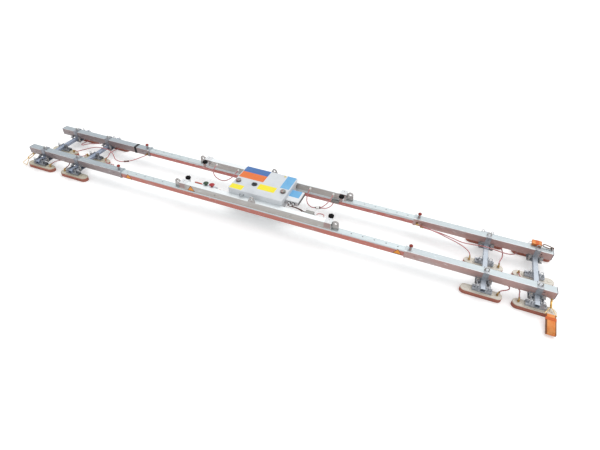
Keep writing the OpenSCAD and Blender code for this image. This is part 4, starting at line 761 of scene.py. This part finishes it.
dial_paper = dial_finish.mix(dial_paper, paint(30, 30, 32), dial_mark)
bezel_wear = dial_finish.noise(90, detail=4)
dial_finish.coat(
    Base_Color=dial_finish.mix(paint(118, 104, 100), dial_paper, on_dial),
    Metallic=0.5 - 0.5 * on_dial, Roughness=0.34 + 0.2 * bezel_wear)
dial_finish.dress("vacuum_gauges")
coated("needle_paint", paint(24, 24, 26), paint(14, 14, 16)).dress(
    "gauge_needle_left", "gauge_needle_right")


def link(name, form, finish, body, smooth=True):
    """Turns a bmesh in millimetres into a finished piece that rides on a body."""
    bmesh.ops.remove_doubles(form, verts=form.verts, dist=0.001)
    piece = made(name, form)
    if smooth:
        piece.data.shade_smooth()
        piece.data.set_sharp_from_angle(angle=math.radians(35))
    finish.dress(name)
    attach(piece, body)


def spun(profile, place, steps=32):
    """A turned solid: a line of (radius, height) spun about the place's Z axis."""
    form = bmesh.new()
    line = [form.verts.new((r, 0, z)) for r, z in profile]
    edges = [form.edges.new(pair) for pair in zip(line, line[1:])]
    bmesh.ops.spin(form, geom=line + edges, cent=(0, 0, 0), axis=(0, 0, 1),
                   angle=math.tau, steps=steps, use_merge=True)
    bmesh.ops.transform(form, matrix=place, verts=form.verts)
    return form


glass_finish = Finish("gauge_glass")
smear = glass_finish.noise(60, detail=4)
glass_finish.coat(Base_Color=(0.95, 0.97, 0.98), Roughness=0.03 + 0.05 * smear,
                  Alpha=0.12 + 0.06 * smear.between(0.5, 0.8), Coat_Weight=0.4)
glass_dome = [(0, 298.0), (19.8, 298.0), (19.9, 299.0), (14, 299.9), (7, 300.4), (0, 300.6)]
for name, x in (("gauge_glass_left", -gauge_x), ("gauge_glass_right", gauge_x)):
    link(name, spun(glass_dome, Matrix.Translation((x, gauge_y, 0))), glass_finish,
         "lid")


# Labels on the lid: printed vinyl, left blank. A blue and orange one fills the far left
# quarter, two are yellow, and a light blue one lies along the right end.
def vinyl(name, colour, faded):
    finish = Finish(name)
    sun = finish.noise(9, detail=4)
    dirt = finish.noise(120, detail=3).between(0.6, 0.75)
    finish.coat(
        Base_Color=finish.mix(finish.mix(colour, faded, sun.between(0.4, 0.8) * 0.5),
                              paint(205, 205, 200), dirt * 0.15),
        Roughness=0.38 + 0.15 * sun, Coat_Weight=0.25)
    finish.bump(sun, 0.05, 0.0004)
    return finish


def plate(outline, thick, corner, place):
    """A flat plate with round corners: an outline in XY, put in place by a matrix."""
    form = bmesh.new()
    face = form.faces.new([form.verts.new((x, y, 0)) for x, y in outline])
    grown = bmesh.ops.extrude_face_region(form, geom=[face])["geom"]
    tops = [g for g in grown if isinstance(g, bmesh.types.BMVert)]
    bmesh.ops.translate(form, vec=(0, 0, thick), verts=tops)
    upright = [e for v in tops for e in v.link_edges
               if abs(e.verts[0].co.z - e.verts[1].co.z) > thick / 2]
    bmesh.ops.bevel(form, geom=upright, offset=corner, segments=4, profile=0.5,
                    affect="EDGES", material=-1)
    bmesh.ops.transform(form, matrix=place, verts=form.verts)
    return form


def oblong(x0, x1, y0, y1):
    return [(x0, y0), (x1, y0), (x1, y1), (x0, y1)]


label_thick = 0.15
blue, orange = ((46, 104, 174), (78, 130, 188)), ((236, 112, 22), (240, 138, 56))
yellow, light_blue = ((255, 238, 0), (252, 240, 84)), ((104, 178, 228), (138, 198, 234))
unit_top = 234
for name, outline, top, corner, (colour, faded), body, slot_name in (
        ("lid_label_blue", (-256, -6, 104, 194), lid_top, 3, blue, "lid", "lid"),
        ("lid_label_orange", (-256, -6, 3, 104), lid_top, 3, orange, "lid", "lid"),
        ("lid_label_yellow_left", (-256, -134, -190, -121), lid_top, 4, yellow, "lid", "lid"),
        ("lid_label_yellow_middle", (-18, 150, -112, -30), lid_top, 4, yellow, "lid", "lid"),
        ("lid_label_light_blue", (168, 257, -11, 192), lid_top, 4, light_blue, "lid", "lid"),
        ("side_unit_label", (264, 362, -30, 74), unit_top, 3, light_blue,
         "centre_frame", "side_unit")):
    form = plate(oblong(*outline), label_thick, corner, Matrix.Translation((0, 0, top)))
    link(name, form, vinyl(name, paint(*colour), paint(*faded)), body, smooth=False)

# Three orange triangles with a dark edge, printed vinyl that is also left blank, on the
# near side of the beams and of the near upper tube
triangle_vinyl = vinyl("triangle_vinyl", paint(254, 160, 34), paint(240, 136, 30))
edge_vinyl = vinyl("triangle_edge", paint(104, 52, 30), paint(126, 70, 44))
beam_half = 31
beam_side_y = -(beam_y + beam_half)
triangle, triangle_corner = [(-42, -26), (42, -26), (0, 31)], 4
for name, x, z, slot_name in (("triangle_left", -1338, 137, "beams"),
                              ("triangle_centre", -622, 201, "upper_tubes"),
                              ("triangle_right", 1328, 137, "beams")):
    for layer_name, share, lift, look in (("_edge", 1.0, 0.0, edge_vinyl),
                                          ("", 0.76, label_thick, triangle_vinyl)):
        form = plate([(share * a, share * b) for a, b in triangle], label_thick, triangle_corner,
                     Matrix.Translation((x, beam_side_y - lift, z))
                     @ Matrix.Rotation(math.radians(90), 4, "X"))
        link(name + layer_name, form, look, "centre_frame", smooth=False)

# Lamp on the lid: a small lens, moulded in pale yellow plastic with a domed top, in the
# lid's far right quarter
lamp_finish = coated("lamp_lens", paint(244, 226, 130), paint(214, 190, 92), rough=0.2, coat=0.6)
lamp_x, lamp_y = 146, 173
lens = [(0, 284.9), (10, 284.9), (10, 288), (8.6, 289.5), (7.5, 289.5), (7, 291), (5, 293),
        (0, 294)]
link("lid_lamp", spun(lens, Matrix.Translation((lamp_x, lamp_y, 0))), lamp_finish, "lid")

# Push buttons of the valve block: moulded plastic, green to release and red to grip,
# each under a wide mushroom head
coated("release_plastic", paint(22, 84, 44), paint(14, 60, 32), coat=0.5).dress("release_button")
coated("grip_plastic", paint(206, 48, 56), paint(156, 32, 40), coat=0.5).dress("grip_button")
button_y = -174
head = [(0, 241.2), (22, 241.2), (24.6, 242.2), (26, 244.2), (25.4, 246.4), (21.5, 249),
        (12, 250.8), (0, 251.4)]
for name, x, colour, shadow in (
        ("release_button", -507, (12, 58, 28), (8, 40, 20)),
        ("grip_button", -445, (170, 22, 34), (124, 16, 26))):
    head_finish = coated(name + "_head", paint(*colour), paint(*shadow), rough=0.5)
    link(name + "_head", spun(head, Matrix.Translation((x, button_y, 0)), steps=40),
         head_finish, name)

# Valve block: a plated body with a red cap on its right end, and on its left a shut-off
# valve whose flat lever wears a red plastic sleeve
lever_x, lever_z, cap_x = -0.5475, 0.2195, -0.3755
plated("valve_metal", paint(214, 217, 222), paint(176, 180, 186), painted=[
    (lambda finish: (finish.axes()[0] < lever_x) * (finish.axes()[2] > lever_z),
     paint(226, 92, 66)),
    (lambda finish: finish.axes()[0] > cap_x, paint(178, 78, 72))]).dress("valve_block")
cover, cover_low_z = oblong(-628, -562, -183, -165), 218
cover_thick, cover_corner, cover_edge = 7.6, 8, 2.2
form = plate(cover, cover_thick, cover_corner, Matrix.Translation((0, 0, cover_low_z)))
rims = [e for e in form.edges if abs(e.verts[0].co.z - e.verts[1].co.z) < 0.01]
bmesh.ops.bevel(form, geom=rims, offset=cover_edge, segments=3, profile=0.5, affect="EDGES",
                material=-1)
link("valve_lever_sleeve", form, coated("lever_sleeve", paint(192, 88, 68), paint(150, 62, 50)),
     "centre_frame")

# Black nylon band on the far left sleeve: a loop of webbing, pulled tight round the tube
# near its inner end
band_x, sleeve_outside = -1609, 70.2
band_finish = coated("band_nylon", paint(36, 32, 34), paint(22, 20, 22), rough=0.7, coat=0.0)
band_frame = (Matrix.Translation(Vector((band_x, beam_y, sleeve_mid_z)) / 1000)
              @ Matrix.Rotation(math.radians(90), 4, "Y"))
keeper("band_far_left", sleeve_outside, 0, band_frame, "left_end_frame", sleeve_outside,
       band_finish)


# Joiners on the hoses of the left end frame: push-in sleeves of moulded plastic, one dark
# and one white, each over a hose and waisted in the middle
def joiner(name, place, along, long, radius, finish):
    half, lip, bore = long / 2, 1.2, hose_diameter * 500
    profile = [(bore, -half), (radius - lip, -half), (radius, lip - half), (radius, -half / 3),
               (radius - 1, -half / 4), (radius - 1, half / 4), (radius, half / 3),
               (radius, half - lip), (radius - lip, half), (bore, half)]
    turn = Vector(along).to_track_quat("Z", "Y").to_matrix().to_4x4()
    link(name, spun(profile, Matrix.Translation(place) @ turn, steps=24), finish,
         "left_end_frame")


joiner_dark = coated("joiner_dark", paint(110, 58, 52), paint(78, 40, 38))
joiner_white = coated("joiner_white", paint(240, 240, 238), paint(212, 212, 210))
joiner("joiner_supply", (-1582, 12, 98.5), (65, 39, 1), 52, 8.5, joiner_dark)
joiner("joiner_sleeve_a", (-1681, -109, 106), (65, -27, 26), 26, 8, joiner_white)

# Light: one broad soft lamp overhead, and an even white studio all round. The camera,
# mirrors and glass see the studio at full white; it lights the object with less.
lit_by_studio, seen_studio = 0.62, 1.0
world = bpy.data.worlds.new("studio")
bpy.context.scene.world = world
world.use_nodes = True
studio = world.node_tree
sky = studio.nodes["Background"]
rays = studio.nodes.new("ShaderNodeLightPath")
seen = rays.outputs["Is Camera Ray"]
for kind in ("Is Glossy Ray", "Is Transmission Ray"):
    either = studio.nodes.new("ShaderNodeMath")
    either.operation = "MAXIMUM"
    studio.links.new(seen, either.inputs[0])
    studio.links.new(rays.outputs[kind], either.inputs[1])
    seen = either.outputs[0]
strength = studio.nodes.new("ShaderNodeMapRange")
strength.inputs["To Min"].default_value = lit_by_studio
strength.inputs["To Max"].default_value = seen_studio
studio.links.new(seen, strength.inputs["Value"])
studio.links.new(strength.outputs[0], sky.inputs["Strength"])
sky.inputs["Color"].default_value = (0.98, 0.99, 1.0, 1)

lamp = bpy.data.objects.new("softbox", bpy.data.lights.new("softbox", "SUN"))
bpy.context.scene.collection.objects.link(lamp)
lamp.data.energy = 1.25
lamp.data.angle = math.radians(50)
lamp.rotation_euler = (math.radians(-24), math.radians(14), 0)

# Floor: matt paper, which keeps the object's shadow and glows a little where the camera
# or a mirror sees it
floor_reach, floor_drop, floor_glow = 30, 0.0005, 0.36
floor_mesh = bpy.data.meshes.new("floor")
form = bmesh.new()
bmesh.ops.create_grid(form, x_segments=1, y_segments=1, size=floor_reach)
form.to_mesh(floor_mesh)
form.free()
floor = bpy.data.objects.new("floor", floor_mesh)
floor.location.z = -floor_drop
bpy.context.scene.collection.objects.link(floor)
floor_finish = Finish("floor_paper")
floor_rays = floor_finish.add("ShaderNodeLightPath").socket.node
shown = floor_finish.add("ShaderNodeMath", {"operation": "MAXIMUM"}, {
    0: Socket(floor_finish, floor_rays.outputs["Is Camera Ray"]),
    1: Socket(floor_finish, floor_rays.outputs["Is Glossy Ray"])})
floor_finish.coat(Base_Color=(0.86, 0.86, 0.86), Roughness=0.9, Specular_IOR_Level=0.0,
                  Emission_Color=(1, 1, 1), Emission_Strength=shown * floor_glow)
floor_mesh.materials.append(floor_finish.material)
